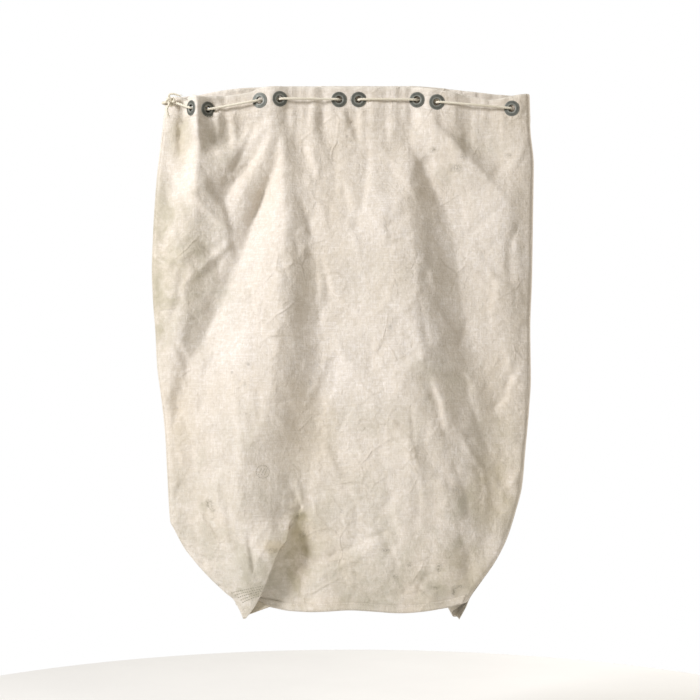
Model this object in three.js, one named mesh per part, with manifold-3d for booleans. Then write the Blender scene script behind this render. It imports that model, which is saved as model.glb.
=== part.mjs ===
// A cotton-duck mail sack hanging from its rim, in millimetres, +Z up, front towards -Y.
// The origin is the middle of the stretch of rim that a clamp grips. The sack is a closed tube of
// canvas with a square base that has folded up inside, a hem with eyelets in pairs, and a draw cord.

import * as THREE from "three";
import { mergeVertices } from "three/addons/utils/BufferGeometryUtils.js";
import Module from "manifold-3d";

const wasm = await Module();
wasm.setup();

// ---------------------------------------------------------------- driving dimensions
const CLOTH = 1.6; // panel thickness
const HEM_THICK = 3.0; // turned-over hem, three layers
const HEM_PROUD = 0.7; // how far the hem's face stands in front of the panel's
const HEM_JOIN = 1.2; // from the hem's lower edge to the panel below it
const SEAM_THICK = 2.4; // felled side seams
const SEAM_PROUD = 0.4;
const BASE_SEAM_DEPTH = 14;
const EAR_THICK = 3.0; // a folded corner, two layers
const GAP = 0.3; // between neighbouring pieces

const EDGE_ROLL = 9; // how far the rounded side edge reaches in from the silhouette
const FLAT_BELOW_RIM = 82; // the gripped stretch stays flat down to here
const BELLY_FROM_RIM = 300; // below this the tube has its full depth

const BASE_SIDE = 330; // along the folded base, near a quarter of the tube's girth
const BASE_FOLD_RISE = 140; // how far the base's fold stands up inside

const EYELET_DOWN = 21; // eyelet centre below the rim's edge
const EYELET_OUTER_R = 13.5;
const EYELET_HOLE_R = 6.0;
const BARREL_R = 6.8;
const SEAT_THICK = 2.4; // hem left between a grommet and its washer
const FLANGE_TOP = 1.2;
const WASHER_THICK = 1.2;
const ROUND_SIDES = 12;

const CORD_R = 2.25;
const CORD_SIDES = 8;
const KNOT_R = 6.5;

// ---------------------------------------------------------------- outlines, hand-set
// Side edges as [z, x].
const LEFT_EDGE = [
  [-868, -200], [-853, -209], [-808, -258], [-764, -294], [-719, -318], [-639, -323],
  [-566, -327], [-509, -333], [-386, -344], [-285, -350], [-130, -343], [17, -326],
];
const RIGHT_EDGE = [
  [-868, 196], [-854, 202], [-828, 220], [-789, 247], [-749, 267], [-702, 282],
  [-658, 293], [-526, 305], [-387, 307], [-170, 312], [-101, 313], [-40, 307], [20, 305],
];
// Rim and bottom edges as [x, z].
const RIM_FRONT = [
  [-327, 17], [-305, 17], [-293, 12], [-279, 17], [-267, 14], [-180, 23], [-159, 31],
  [-119, 33], [98, 33], [133, 29], [202, 16], [237, 10], [280, 17], [305, 20],
];
const RIM_BACK = [
  [-327, 17], [-290, 20], [-230, 27], [-180, 33], [-119, 36], [98, 36], [150, 33],
  [202, 27], [260, 22], [305, 20],
];
const BOTTOM = [
  [-200, -858], [-145, -866], [-76, -873], [-6, -871], [82, -875], [154, -868], [197, -858],
];
// The hem's stitched lower edge as [x, z], the same on both walls.
const HEM_FOOT = [[-327, -27], [-240, -27], [-119, -12], [98, -12], [220, -29], [305, -26]];
// The rim seen from above as [x, y]: folds on the left, the flat gripped stretch, and a right lobe.
const RIM_FRONT_PLAN = [
  [-327, 2], [-310, 1], [-299, 0], [-290, -5], [-283, -14], [-277, -24], [-270, -29],
  [-262, -26], [-252, -18], [-238, -9], [-215, -4], [-185, -7], [-162, -15], [-144, -19],
  [-127, -17], [-112, -10], [-98, -6.3], [100, -6.3], [112, -8], [128, -13], [145, -17],
  [170, -17], [205, -13], [238, -12], [262, -16], [275, -20], [290, -22], [305, -18],
];
const RIM_BACK_PLAN = [
  [-327, 20], [-305, 21], [-283, 21], [-250, 20], [-195, 17], [-141, 14], [-115, 8],
  [-98, 6.3], [100, 6.3], [120, 9], [143, 14], [176, 16], [230, 13], [283, 16], [305, 16],
];
// Depth of the filled-out tube from its middle plane as [z, y], at its middle and at its side edges.
const BELLY = [[-872, 22], [-800, 36], [-650, 46], [-450, 50], [-280, 44], [-150, 32]];
const EDGE_HALF = [[-872, 18], [-760, 15], [-400, 14], [-100, 11], [20, 10]];
// Long folds of each wall: where each runs as [z, x], how far it stands out, and its half width.
const FRONT_FOLDS = [
  { run: [[-787, -186], [-630, -188], [-509, -180], [-300, -159], [-40, -110]], out: 12, wide: 34 },
  { run: [[-787, -93], [-630, -110], [-509, -84], [-266, -62], [-127, -76]], out: -11, wide: 34 },
  { run: [[-648, 60], [-509, 66], [-40, 46]], out: 8, wide: 50 },
  { run: [[-787, 220], [-630, 202], [-457, 176], [-318, 150], [-23, 89]], out: -12, wide: 36 },
  { run: [[-405, 268], [-335, 258], [-196, 205], [-23, 124]], out: 9, wide: 34 },
];
const BACK_FOLDS = [
  { run: [[-800, 150], [-400, 120], [-40, 100]], out: 10, wide: 42 },
  { run: [[-800, 20], [-400, 0], [-40, -10]], out: -9, wide: 55 },
  { run: [[-800, -170], [-400, -140], [-40, -105]], out: 10, wide: 42 },
];
// Eyelets in order round the rim, [x, side]: along the front from the left, then back along the back.
const FRONT = -1;
const BACK = 1;
const EYELETS = [
  [-280.5, FRONT], [-251, FRONT], [-162, FRONT], [-127, FRONT], [-25, FRONT], [9, FRONT],
  [110, FRONT], [144, FRONT], [273, FRONT], [262, BACK], [162, BACK], [129, BACK],
  [62, BACK], [28, BACK], [-108, BACK], [-141, BACK], [-250, BACK], [-284, BACK],
];

// ---------------------------------------------------------------- curves
const clamp01 = (t) => Math.min(1, Math.max(0, t));
const mix = (a, b, t) => a + (b - a) * t;
const smooth = (t) => clamp01(t) ** 2 * (3 - 2 * clamp01(t));

/** A smooth curve through [input, output] points that never overshoots them. */
function through(points) {
  const secant = (i) =>
    (points[i + 1][1] - points[i][1]) / (points[i + 1][0] - points[i][0]);
  const last = points.length - 1;
  const slopes = points.map((_, i) => {
    if (i === 0) return secant(0);
    if (i === last) return secant(last - 1);
    const a = secant(i - 1);
    const b = secant(i);
    return a * b <= 0 ? 0 : (2 * a * b) / (a + b);
  });
  return (input) => {
    const x = Math.min(points[last][0], Math.max(points[0][0], input));
    let i = 0;
    while (i < last - 1 && x > points[i + 1][0]) i += 1;
    const span = points[i + 1][0] - points[i][0];
    const t = (x - points[i][0]) / span;
    const rise = points[i + 1][1] - points[i][1];
    const a = slopes[i] * span - rise;
    const b = rise - slopes[i + 1] * span;
    return points[i][1] + rise * t + t * (1 - t) * (a * (1 - t) + b * t);
  };
}

const leftEdge = through(LEFT_EDGE);
const rightEdge = through(RIGHT_EDGE);
const bottomAt = through(BOTTOM);
const hemFoot = through(HEM_FOOT);
const rimTop = { [FRONT]: through(RIM_FRONT), [BACK]: through(RIM_BACK) };
const rimPlan = { [FRONT]: through(RIM_FRONT_PLAN), [BACK]: through(RIM_BACK_PLAN) };
const belly = through(BELLY);
const edgeHalf = through(EDGE_HALF);
const folds = {
  [FRONT]: FRONT_FOLDS.map((fold) => ({ ...fold, at: through(fold.run) })),
  [BACK]: BACK_FOLDS.map((fold) => ({ ...fold, at: through(fold.run) })),
};

/** How far a wall's long folds stand out at a place. */
function foldRelief(side, x, z) {
  const wave = (fold) => fold.out * Math.exp(-(((x - fold.at(z)) / fold.wide) ** 2));
  return folds[side].reduce((sum, fold) => sum + wave(fold), 0);
}

/** The y of one wall's face, away from the rounded side edges. */
function wallY(side, x, z) {
  const left = leftEdge(z);
  const right = rightEdge(z);
  const across = clamp01(Math.abs((2 * x - left - right) / (right - left)));
  const roll = edgeHalf(z);
  const fromEdge = 1 - across ** 2.2;
  const fullDepth = roll + (belly(z) - roll) * fromEdge;
  const relief = foldRelief(side, x, z) * smooth(3 * (1 - across)) * smooth((z + 880) / 150);
  const below = rimTop[side](x) - z;
  const open = smooth((below - FLAT_BELOW_RIM) / (BELLY_FROM_RIM - FLAT_BELOW_RIM));
  return mix(rimPlan[side](x), side * (fullDepth + relief), open);
}

/**
 * A point of the tube's outer face. round goes once round it: 0 to 1 along the front from the left
 * edge's tip to the right edge's, then 1 to 2 back along the back. The edges are rounded.
 */
function tubePoint(round, zNominal, zOf, proud = 0) {
  const side = round <= 1 ? FRONT : BACK;
  const along = round <= 1 ? round : 2 - round;
  const left = leftEdge(zNominal);
  const right = rightEdge(zNominal);
  const arc = 0.04; // share of round that each rounded edge takes
  const turn = Math.min(clamp01(along / arc), clamp01((1 - along) / arc)) * (Math.PI / 2);
  const inset = EDGE_ROLL * (1 - Math.cos(turn));
  const straight = mix(left + EDGE_ROLL, right - EDGE_ROLL, (along - arc) / (1 - 2 * arc));
  let x = straight;
  if (along < arc) x = left + inset;
  if (along > 1 - arc) x = right - inset;
  const z = zOf(x, side);
  const front = wallY(FRONT, x, z);
  const back = wallY(BACK, x, z);
  const middle = (front + back) / 2;
  const half = (back - front) / 2;
  const y = middle + side * (half + proud) * Math.sin(turn);
  const outward = (along < 0.5 ? -1 : 1) * proud * Math.cos(turn);
  return new THREE.Vector3(x + outward, y, z);
}

// ---------------------------------------------------------------- solids
/** A closed BufferGeometry with merged points and outward faces. */
function closed(positions, index) {
  let geometry = new THREE.BufferGeometry();
  geometry.setAttribute("position", new THREE.Float32BufferAttribute(positions, 3));
  geometry.setIndex(index);
  geometry = mergeVertices(geometry, 1e-4);
  geometry.computeVertexNormals();
  return geometry;
}

/** Turns one of three's own geometries into points and triangles only. */
function plain(source) {
  const geometry = source.clone();
  geometry.deleteAttribute("normal");
  geometry.deleteAttribute("uv");
  return mergeVertices(geometry, 1e-4);
}

function toManifold(source) {
  const geometry = plain(source);
  return new wasm.Manifold(
    new wasm.Mesh({
      numProp: 3,
      vertProperties: new Float32Array(geometry.attributes.position.array),
      triVerts: new Uint32Array(geometry.index.array),
    }),
  );
}

function fromManifold(solid) {
  const mesh = solid.getMesh();
  return closed(Array.from(mesh.vertProperties), Array.from(mesh.triVerts));
}

/** A sheet of cloth over point(u, v), u along the tube's way round and v downwards. */
function sheet(point, us, vs, thickness) {
  const step = 1e-3;
  const positions = [];
  const columns = us.length;
  const count = columns * vs.length;
  const inner = [];
  for (const v of vs) {
    for (const u of us) {
      const here = point(u, v);
      const du = point(u + step, v).sub(point(u - step, v));
      const dv = point(u, v + step).sub(point(u, v - step));
      const normal = dv.cross(du).normalize();
      positions.push(...here.toArray());
      inner.push(...here.addScaledVector(normal, -thickness).toArray());
    }
  }
  positions.push(...inner);
  const index = [];
  const quad = (a, b, c, d) => index.push(a, b, d, d, b, c);
  const at = (i, j) => j * columns + i;
  for (let j = 0; j < vs.length - 1; j += 1) {
    for (let i = 0; i < columns - 1; i += 1) {
      quad(at(i, j), at(i, j + 1), at(i + 1, j + 1), at(i + 1, j));
      quad(count + at(i + 1, j), count + at(i + 1, j + 1), count + at(i, j + 1), count + at(i, j));
    }
    const far = columns - 1;
    quad(at(0, j), count + at(0, j), count + at(0, j + 1), at(0, j + 1));
    quad(at(far, j), at(far, j + 1), count + at(far, j + 1), count + at(far, j));
  }
  const low = vs.length - 1;
  for (let i = 0; i < columns - 1; i += 1) {
    quad(at(i, 0), at(i + 1, 0), count + at(i + 1, 0), count + at(i, 0));
    quad(at(i, low), count + at(i, low), count + at(i + 1, low), at(i + 1, low));
  }
  return closed(positions, index);
}

const evenly = (from, to, steps) =>
  Array.from({ length: steps + 1 }, (_, i) => mix(from, to, i / steps));

// ---------------------------------------------------------------- materials
const material = (color, roughness, metalness = 0) =>
  new THREE.MeshStandardMaterial({ color, roughness, metalness, side: THREE.DoubleSide });
const CANVAS = material(0xe2d8c8, 0.95);
const CANVAS_INSIDE = material(0xd6cab4, 0.95);
const ZINC = material(0x7b837e, 0.55, 0.8);
const COTTON = material(0xe6dcc4, 0.9);

const sack = new THREE.Group();

function place(name, geometry, finish) {
  const mesh = new THREE.Mesh(geometry, finish);
  mesh.name = name;
  sack.add(mesh);
  return mesh;
}

// ---------------------------------------------------------------- the cloth
const Z_TOP = 20; // nominal rim height, where the side edges' outlines start
const Z_LOW = -868;
const nominal = (v) => mix(Z_TOP, Z_LOW, v);
// Rows of the panels and side seams: the first is the flat gripped strip, the last ones the corners.
const PANEL_SHARES = [0, 0.035, 0.08, 0.13, 0.185, 0.245, 0.31, 0.39, 0.48, 0.57, 0.66, 0.74,
  0.81, 0.87, 0.92, 0.96, 1];

/** Height of a point v of the way from under the hem to over the base seam. */
const panelZ = (v) => (x) =>
  mix(hemFoot(x) - HEM_JOIN, bottomAt(x) + BASE_SEAM_DEPTH + HEM_JOIN, v);
const panelNominal = (v) => nominal(mix(0.05, 0.985, v));

const PANEL_EDGE = 0.0405; // just past the rounded edge, which the side seam takes
const PANEL_COLUMNS = 24;

/** Even columns along one wall, from one side seam to the other. */
const wallColumns = (side) =>
  side === FRONT
    ? evenly(PANEL_EDGE, 1 - PANEL_EDGE, PANEL_COLUMNS)
    : evenly(1 + PANEL_EDGE, 2 - PANEL_EDGE, PANEL_COLUMNS);

// Each wall is one width of cloth. It is made as five nodes that meet edge to edge, so that each is
// a simple shape whose collision can follow the folds and leave the inside of the sack open.
// Each entry is the rows it spans, then the columns it spans counted from the left.
const PANEL_NODES = {
  upper: [[0, 6], [0, 24]],
  middle_left: [[6, 9], [0, 12]],
  middle_right: [[6, 9], [12, 24]],
  lower_left: [[9, 16], [0, 12]],
  lower_right: [[9, 16], [12, 24]],
};

/** One node of a wall, between two of its rows and two of its columns counted from the left. */
function panel(side, [top, low], [left, right]) {
  const columns = wallColumns(side);
  const taken = side === FRONT
    ? columns.slice(left, right + 1)
    : columns.slice(PANEL_COLUMNS - right, PANEL_COLUMNS - left + 1);
  return sheet((u, v) => tubePoint(u, panelNominal(v), panelZ(v)), taken,
    PANEL_SHARES.slice(top, low + 1), CLOTH);
}

/** A felled seam round one side edge. at is where that edge's tip lies on the way round. */
function sideSeam(at) {
  const reach = 0.0394;
  const wrapped = (u) => (u + 2) % 2;
  const point = (u, v) => tubePoint(wrapped(u), panelNominal(v), panelZ(v), SEAM_PROUD);
  return sheet(point, evenly(at - reach, at + reach, 6), PANEL_SHARES, SEAM_THICK);
}

/** Half of the hem, from one side edge's tip to the other's. */
function hemBand(side) {
  const point = (u, v) =>
    tubePoint(u, Z_TOP, (x, wall) => mix(rimTop[wall](x), hemFoot(x), v), HEM_PROUD);
  const from = side === FRONT ? 0 : 1;
  const tip = 0.0006;
  const rounded = evenly(tip, 0.04, 4).slice(0, -1);
  const straight = evenly(0.04, 0.96, 50);
  const shares = [...rounded, ...straight, ...rounded.map((u) => 1 - u).reverse()];
  return sheet(point, shares.map((u) => from + u), [0, 1], HEM_THICK);
}

/** The seam that joins one wall's lower edge to the base. */
function baseSeam(side) {
  const zOf = (v) => (x) => bottomAt(x) + BASE_SEAM_DEPTH * (1 - v);
  const point = (u, v) => tubePoint(u, nominal(mix(0.985, 1, v)), zOf(v), SEAM_PROUD);
  const columns = wallColumns(side).filter((_, i) => i % 2 === 0);
  return sheet(point, columns, [0, 1], SEAM_THICK);
}

/** The square base, folded along its middle so that it stands up inside. */
function foldedBase() {
  const footHalf = 16;
  const foot = -858;
  const top = foot + BASE_FOLD_RISE;
  const outline = new THREE.Shape([
    new THREE.Vector2(-footHalf, foot),
    new THREE.Vector2(-footHalf + CLOTH, foot),
    new THREE.Vector2(0, top - 12),
    new THREE.Vector2(footHalf - CLOTH, foot),
    new THREE.Vector2(footHalf, foot),
    new THREE.Vector2(1.2, top),
    new THREE.Vector2(-1.2, top),
  ]);
  const geometry = new THREE.ExtrudeGeometry(outline, { depth: BASE_SIDE, bevelEnabled: false });
  // The outline is drawn in y and z, and extruded along x.
  const turn = new THREE.Matrix4().set(0, 0, 1, -BASE_SIDE / 2, 1, 0, 0, 0, 0, 1, 0, 0, 0, 0, 0, 1);
  return plain(geometry.applyMatrix4(turn));
}

/** A folded corner lying against one wall, between its outer edge and its free edge. */
function ear(side, outerEdge, freeEdge) {
  const outer = new THREE.SplineCurve(outerEdge.map((p) => new THREE.Vector2(...p)));
  const free = new THREE.SplineCurve(freeEdge.map((p) => new THREE.Vector2(...p)));
  const point = (u, v) => {
    const a = outer.getPoint(clamp01(v));
    const b = free.getPoint(clamp01(v));
    const x = mix(a.x, b.x, u);
    const z = mix(a.y, b.y, u);
    const zOnWall = Math.max(z, bottomAt(x) + 2);
    const lift = EAR_THICK + 1.5 + 9 * v;
    const near = Math.max(leftEdge(zOnWall) + EDGE_ROLL, Math.min(rightEdge(zOnWall) - EDGE_ROLL, x));
    return new THREE.Vector3(x, wallY(side, near, zOnWall) + side * lift, z);
  };
  const ordered = (u, v) => point((side === FRONT) === (outerEdge[0][0] < 0) ? u : 1 - u, v);
  return sheet(ordered, evenly(0, 1, 6), evenly(0, 0.97, 7), EAR_THICK);
}

// ---------------------------------------------------------------- eyelets
/** Where an eyelet sits: its centre on the hem's seat, its outward normal and its way along. */
function eyeletSeat([x, side]) {
  const surface = (dx, dz) => {
    const z = rimTop[side](x) - EYELET_DOWN + dz;
    const y = wallY(side, x + dx, z) + side * HEM_PROUD;
    return new THREE.Vector3(x + dx, y, z);
  };
  const reach = 9; // the seat is the chord under the flange, not the curve's tangent
  const along = surface(reach, 0).sub(surface(-reach, 0)).normalize();
  const up = new THREE.Vector3(0, 0, 1);
  const normal = side === FRONT ? along.clone().cross(up) : up.clone().cross(along);
  const middle = surface(0, 0).add(surface(reach, 0)).add(surface(-reach, 0)).divideScalar(3);
  const centre = middle.addScaledVector(normal, -0.3);
  return { centre, normal: normal.normalize(), side };
}

const seats = EYELETS.map(eyeletSeat);

/** Puts a geometry made round +Y onto an eyelet's seat. */
function onSeat(geometry, seat) {
  const turn = new THREE.Quaternion().setFromUnitVectors(new THREE.Vector3(0, 1, 0), seat.normal);
  const matrix = new THREE.Matrix4().compose(seat.centre, turn, new THREE.Vector3(1, 1, 1));
  return plain(geometry.applyMatrix4(matrix));
}

/** A cutter round +Y between two heights. */
function disc(radius, low, high) {
  const geometry = new THREE.CylinderGeometry(radius, radius, high - low, ROUND_SIDES);
  return geometry.translate(0, (low + high) / 2, 0);
}

/** A ring turned from a closed outline of [radius, height] points. */
function ring(outline) {
  const points = [...outline, outline[0]].map((p) => new THREE.Vector2(...p));
  return new THREE.LatheGeometry(points, ROUND_SIDES);
}

/** The hem with its eyelet holes, and flat seats for the grommets and washers. */
function punchedHem(side) {
  let solid = toManifold(hemBand(side));
  for (const seat of seats.filter((s) => s.side === side)) {
    const seatR = EYELET_OUTER_R + GAP;
    solid = solid.subtract(toManifold(onSeat(disc(BARREL_R + GAP, -9, 9), seat)));
    solid = solid.subtract(toManifold(onSeat(disc(seatR, 0, 6), seat)));
    solid = solid.subtract(toManifold(onSeat(disc(seatR, -SEAT_THICK - 6, -SEAT_THICK), seat)));
  }
  return fromManifold(solid);
}

const BARREL_LOW = -SEAT_THICK - GAP - WASHER_THICK - 0.3;
const grommet = () =>
  ring([
    [EYELET_HOLE_R, BARREL_LOW], [BARREL_R, BARREL_LOW], [BARREL_R, GAP],
    [EYELET_OUTER_R, GAP], [EYELET_OUTER_R - 2.5, FLANGE_TOP], [EYELET_HOLE_R + 0.6, FLANGE_TOP],
  ]);
const washer = () =>
  ring([
    [BARREL_R + GAP, -SEAT_THICK - GAP - WASHER_THICK],
    [EYELET_OUTER_R, -SEAT_THICK - GAP - WASHER_THICK],
    [EYELET_OUTER_R, -SEAT_THICK - GAP],
    [BARREL_R + GAP, -SEAT_THICK - GAP],
  ]);

// ---------------------------------------------------------------- draw cord
const CORD_OVER = FLANGE_TOP + CORD_R + 0.6; // the cord's centre over an eyelet's seat
const CORD_UNDER = BARREL_LOW - CORD_R - 0.5;
// Its way through an eyelet as [share towards the outside run, height over the seat].
const PASSAGE = [[4.5, CORD_OVER], [1.0, 1.4], [-1.0, -4.0], [-4.5, CORD_UNDER]];

/** Unit direction from one seat towards a point, in the seat's own plane. */
function towards(seat, target) {
  const way = target.clone().sub(seat.centre);
  return way.addScaledVector(seat.normal, -way.dot(seat.normal)).normalize();
}

/** The cord's points through one eyelet, from its outside run to its inside run. */
function passage(seat, outsideTarget, insideTarget) {
  const out = towards(seat, outsideTarget);
  const inside = towards(seat, insideTarget);
  return PASSAGE.map(([share, height]) => {
    const way = share > 0 ? out : inside;
    return seat.centre.clone().addScaledVector(seat.normal, height)
      .addScaledVector(way, Math.abs(share));
  });
}

const KNOT = new THREE.Vector3(-316, -9, 8);
const CORD_START = new THREE.Vector3(-308.6, -10.5, 6.5);
// Round the left corner, outside the hem, from the last eyelet to the knot.
const ROUND_CORNER = [
  [-305, 27.5, 6], [-322, 24, 7.5], [-331.5, 14, 8], [-331, 2, 8], [-324.3, -4.6, 8],
].map((p) => new THREE.Vector3(...p));

function cordPoints() {
  const points = [CORD_START];
  const last = seats.length - 1;
  seats.forEach((seat, i) => {
    const entering = i % 2 === 0; // first of a pair: the cord goes in, and comes out of the second
    const outsideTarget = entering
      ? (i === 0 ? KNOT : seats[i - 1].centre)
      : (i === last ? ROUND_CORNER[0] : seats[i + 1].centre);
    const insideTarget = entering ? seats[i + 1].centre : seats[i - 1].centre;
    const way = passage(seat, outsideTarget, insideTarget);
    points.push(...(entering ? way : way.reverse()));
  });
  points.push(...ROUND_CORNER);
  return points;
}

/** A smooth route whose extrusion steps fall on its own points, which lie closest in the eyelets. */
class Route extends THREE.CatmullRomCurve3 {
  getPointAt(u, target) {
    return this.getPoint(u, target);
  }
  getTangentAt(u, target) {
    return this.getTangent(u, target);
  }
}

function tube(points, radius) {
  const corner = (i) => (i / CORD_SIDES) * Math.PI * 2;
  const section = new THREE.Shape(
    Array.from({ length: CORD_SIDES }, (_, i) =>
      new THREE.Vector2(radius * Math.cos(corner(i)), radius * Math.sin(corner(i)))),
  );
  const route = new Route(points, false, "centripetal");
  const steps = points.length - 1;
  return plain(
    new THREE.ExtrudeGeometry(section, { steps, extrudePath: route }),
  );
}

// ---------------------------------------------------------------- assembly
for (const [wall, side] of [["front", FRONT], ["back", BACK]]) {
  for (const [part, [rows, columns]] of Object.entries(PANEL_NODES)) {
    place(`${wall}_panel_${part}`, panel(side, rows, columns), CANVAS);
  }
}
place("side_seam_left", sideSeam(0), CANVAS);
place("side_seam_right", sideSeam(1), CANVAS);
place("hem_front", punchedHem(FRONT), CANVAS);
place("hem_back", punchedHem(BACK), CANVAS);
place("base_seam_front", baseSeam(FRONT), CANVAS);
place("base_seam_back", baseSeam(BACK), CANVAS);
place("base_panel", foldedBase(), CANVAS_INSIDE);
place("left_ear", ear(
  FRONT,
  [[-252, -772], [-222, -818], [-204, -852], [-188, -884]],
  [[-108, -722], [-125, -760], [-152, -826], [-181, -876]],
), CANVAS);
place("right_ear", ear(
  BACK,
  [[238, -768], [212, -816], [196, -856], [182, -892]],
  [[104, -732], [124, -776], [150, -842], [176, -884]],
), CANVAS);

seats.forEach((seat, i) => {
  const number = String(i + 1).padStart(2, "0");
  place(`grommet_${number}`, onSeat(grommet(), seat), ZINC);
  place(`washer_${number}`, onSeat(washer(), seat), ZINC);
});

place("draw_cord", tube(cordPoints(), CORD_R), COTTON);
place("draw_knot", plain(new THREE.IcosahedronGeometry(KNOT_R, 1).translate(...KNOT)), COTTON);
place("cord_tail_upper", tube([
  new THREE.Vector3(-316.5, -12, 14.6),
  new THREE.Vector3(-319, -14, 20),
  new THREE.Vector3(-316, -16, 26),
], CORD_R), COTTON);
place("cord_tail_lower", tube([
  new THREE.Vector3(-319, -14.2, 2),
  new THREE.Vector3(-322, -16, -6),
  new THREE.Vector3(-321, -16, -16),
], CORD_R), COTTON);

export default sack;
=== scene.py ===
"""The mail sack's looks: cotton duck with folds given one by one, set eyelets and a laid cotton
draw cord.

Lengths in the tables below are in millimetres, as they were drafted, and MM turns them into metres
where a mesh is made. The frame is the CAD model's: x right, the front wall towards -y, z up, with
the origin in the middle of the gripped stretch of rim.
"""

import math

import bmesh
import bpy
import numpy as np
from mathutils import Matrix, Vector


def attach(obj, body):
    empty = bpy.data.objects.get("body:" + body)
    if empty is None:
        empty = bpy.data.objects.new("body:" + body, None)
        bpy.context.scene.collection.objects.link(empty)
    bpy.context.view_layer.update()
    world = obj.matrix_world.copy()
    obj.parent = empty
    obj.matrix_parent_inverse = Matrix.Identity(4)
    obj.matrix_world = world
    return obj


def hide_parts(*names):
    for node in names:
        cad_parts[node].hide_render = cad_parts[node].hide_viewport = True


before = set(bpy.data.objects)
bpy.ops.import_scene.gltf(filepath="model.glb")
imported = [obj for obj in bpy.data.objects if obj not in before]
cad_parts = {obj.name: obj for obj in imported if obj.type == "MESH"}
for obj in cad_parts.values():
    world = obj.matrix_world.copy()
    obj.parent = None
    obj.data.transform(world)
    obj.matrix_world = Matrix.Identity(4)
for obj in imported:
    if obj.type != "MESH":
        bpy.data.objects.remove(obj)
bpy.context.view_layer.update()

MM = 0.001
FRONT, BACK = -1, 1
SIDE_NAME = {FRONT: "front", BACK: "back"}

# ---- the sack's outlines, in mm
LEFT_EDGE = [(-884, -191), (-868, -200), (-853, -209), (-842, -222), (-808, -258), (-764, -294),
             (-731, -312), (-719, -318), (-639, -323), (-566, -327), (-509, -333), (-446, -341),
             (-386, -344), (-335, -348), (-285, -350), (-219, -348), (-130, -343), (-52, -335),
             (17, -326)]
RIGHT_EDGE = [(-890, 184), (-868, 196), (-854, 202), (-828, 220), (-789, 247), (-749, 267),
              (-702, 282), (-658, 293), (-603, 298), (-526, 305), (-474, 308), (-387, 307),
              (-300, 310), (-170, 312), (-101, 313), (-40, 307), (20, 305)]
RIM = {
    FRONT: [(-327, 17), (-305, 17), (-293, 12), (-279, 17), (-267, 14), (-180, 23), (-159, 31),
            (-119, 33), (98, 33), (133, 29), (202, 16), (237, 10), (280, 17), (305, 20)],
    BACK: [(-327, 17), (-290, 20), (-230, 30), (-180, 35), (-119, 36), (98, 36), (150, 34),
           (202, 28), (260, 22), (305, 20)],
}
RIM_PLAN = {
    FRONT: [(-327, 2), (-310, 1), (-299, 0), (-290, -5), (-283, -14), (-277, -24), (-270, -29),
            (-262, -26), (-252, -21), (-238, -16), (-222, -12), (-205, -9), (-185, -8), (-162, -15),
            (-144, -19), (-127, -17), (-112, -10), (-98, -6.3), (100, -6.3), (112, -8),
            (128, -13), (145, -17), (170, -17), (205, -13), (238, -12), (262, -16), (275, -20),
            (290, -22), (305, -18)],
    BACK: [(-327, 20), (-305, 21), (-283, 21), (-250, 20), (-195, 17), (-141, 14), (-115, 8),
           (-98, 6.3), (100, 6.3), (120, 9), (143, 14), (176, 16), (230, 13), (283, 16),
           (305, 16)],
}
HEM_FOOT = [(-327, -27), (-240, -27), (-119, -12), (98, -12), (220, -29), (305, -26)]
BOTTOM = [(-200, -858), (-145, -867), (-110, -873), (-76, -874), (-6, -871), (82, -876),
          (154, -868), (197, -858)]
BELLY = [(-890, 22), (-872, 22), (-800, 36), (-650, 46), (-450, 50), (-280, 44), (-150, 32),
         (20, 30)]
EDGE_HALF = [(-890, 18), (-872, 18), (-760, 15), (-400, 14), (-100, 11), (20, 10)]
EDGE_ROLL = 9.0  # radius of the rolled side edges
HEM_PROUD = 0.7  # the hem's doubled cloth stands out by this much

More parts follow.
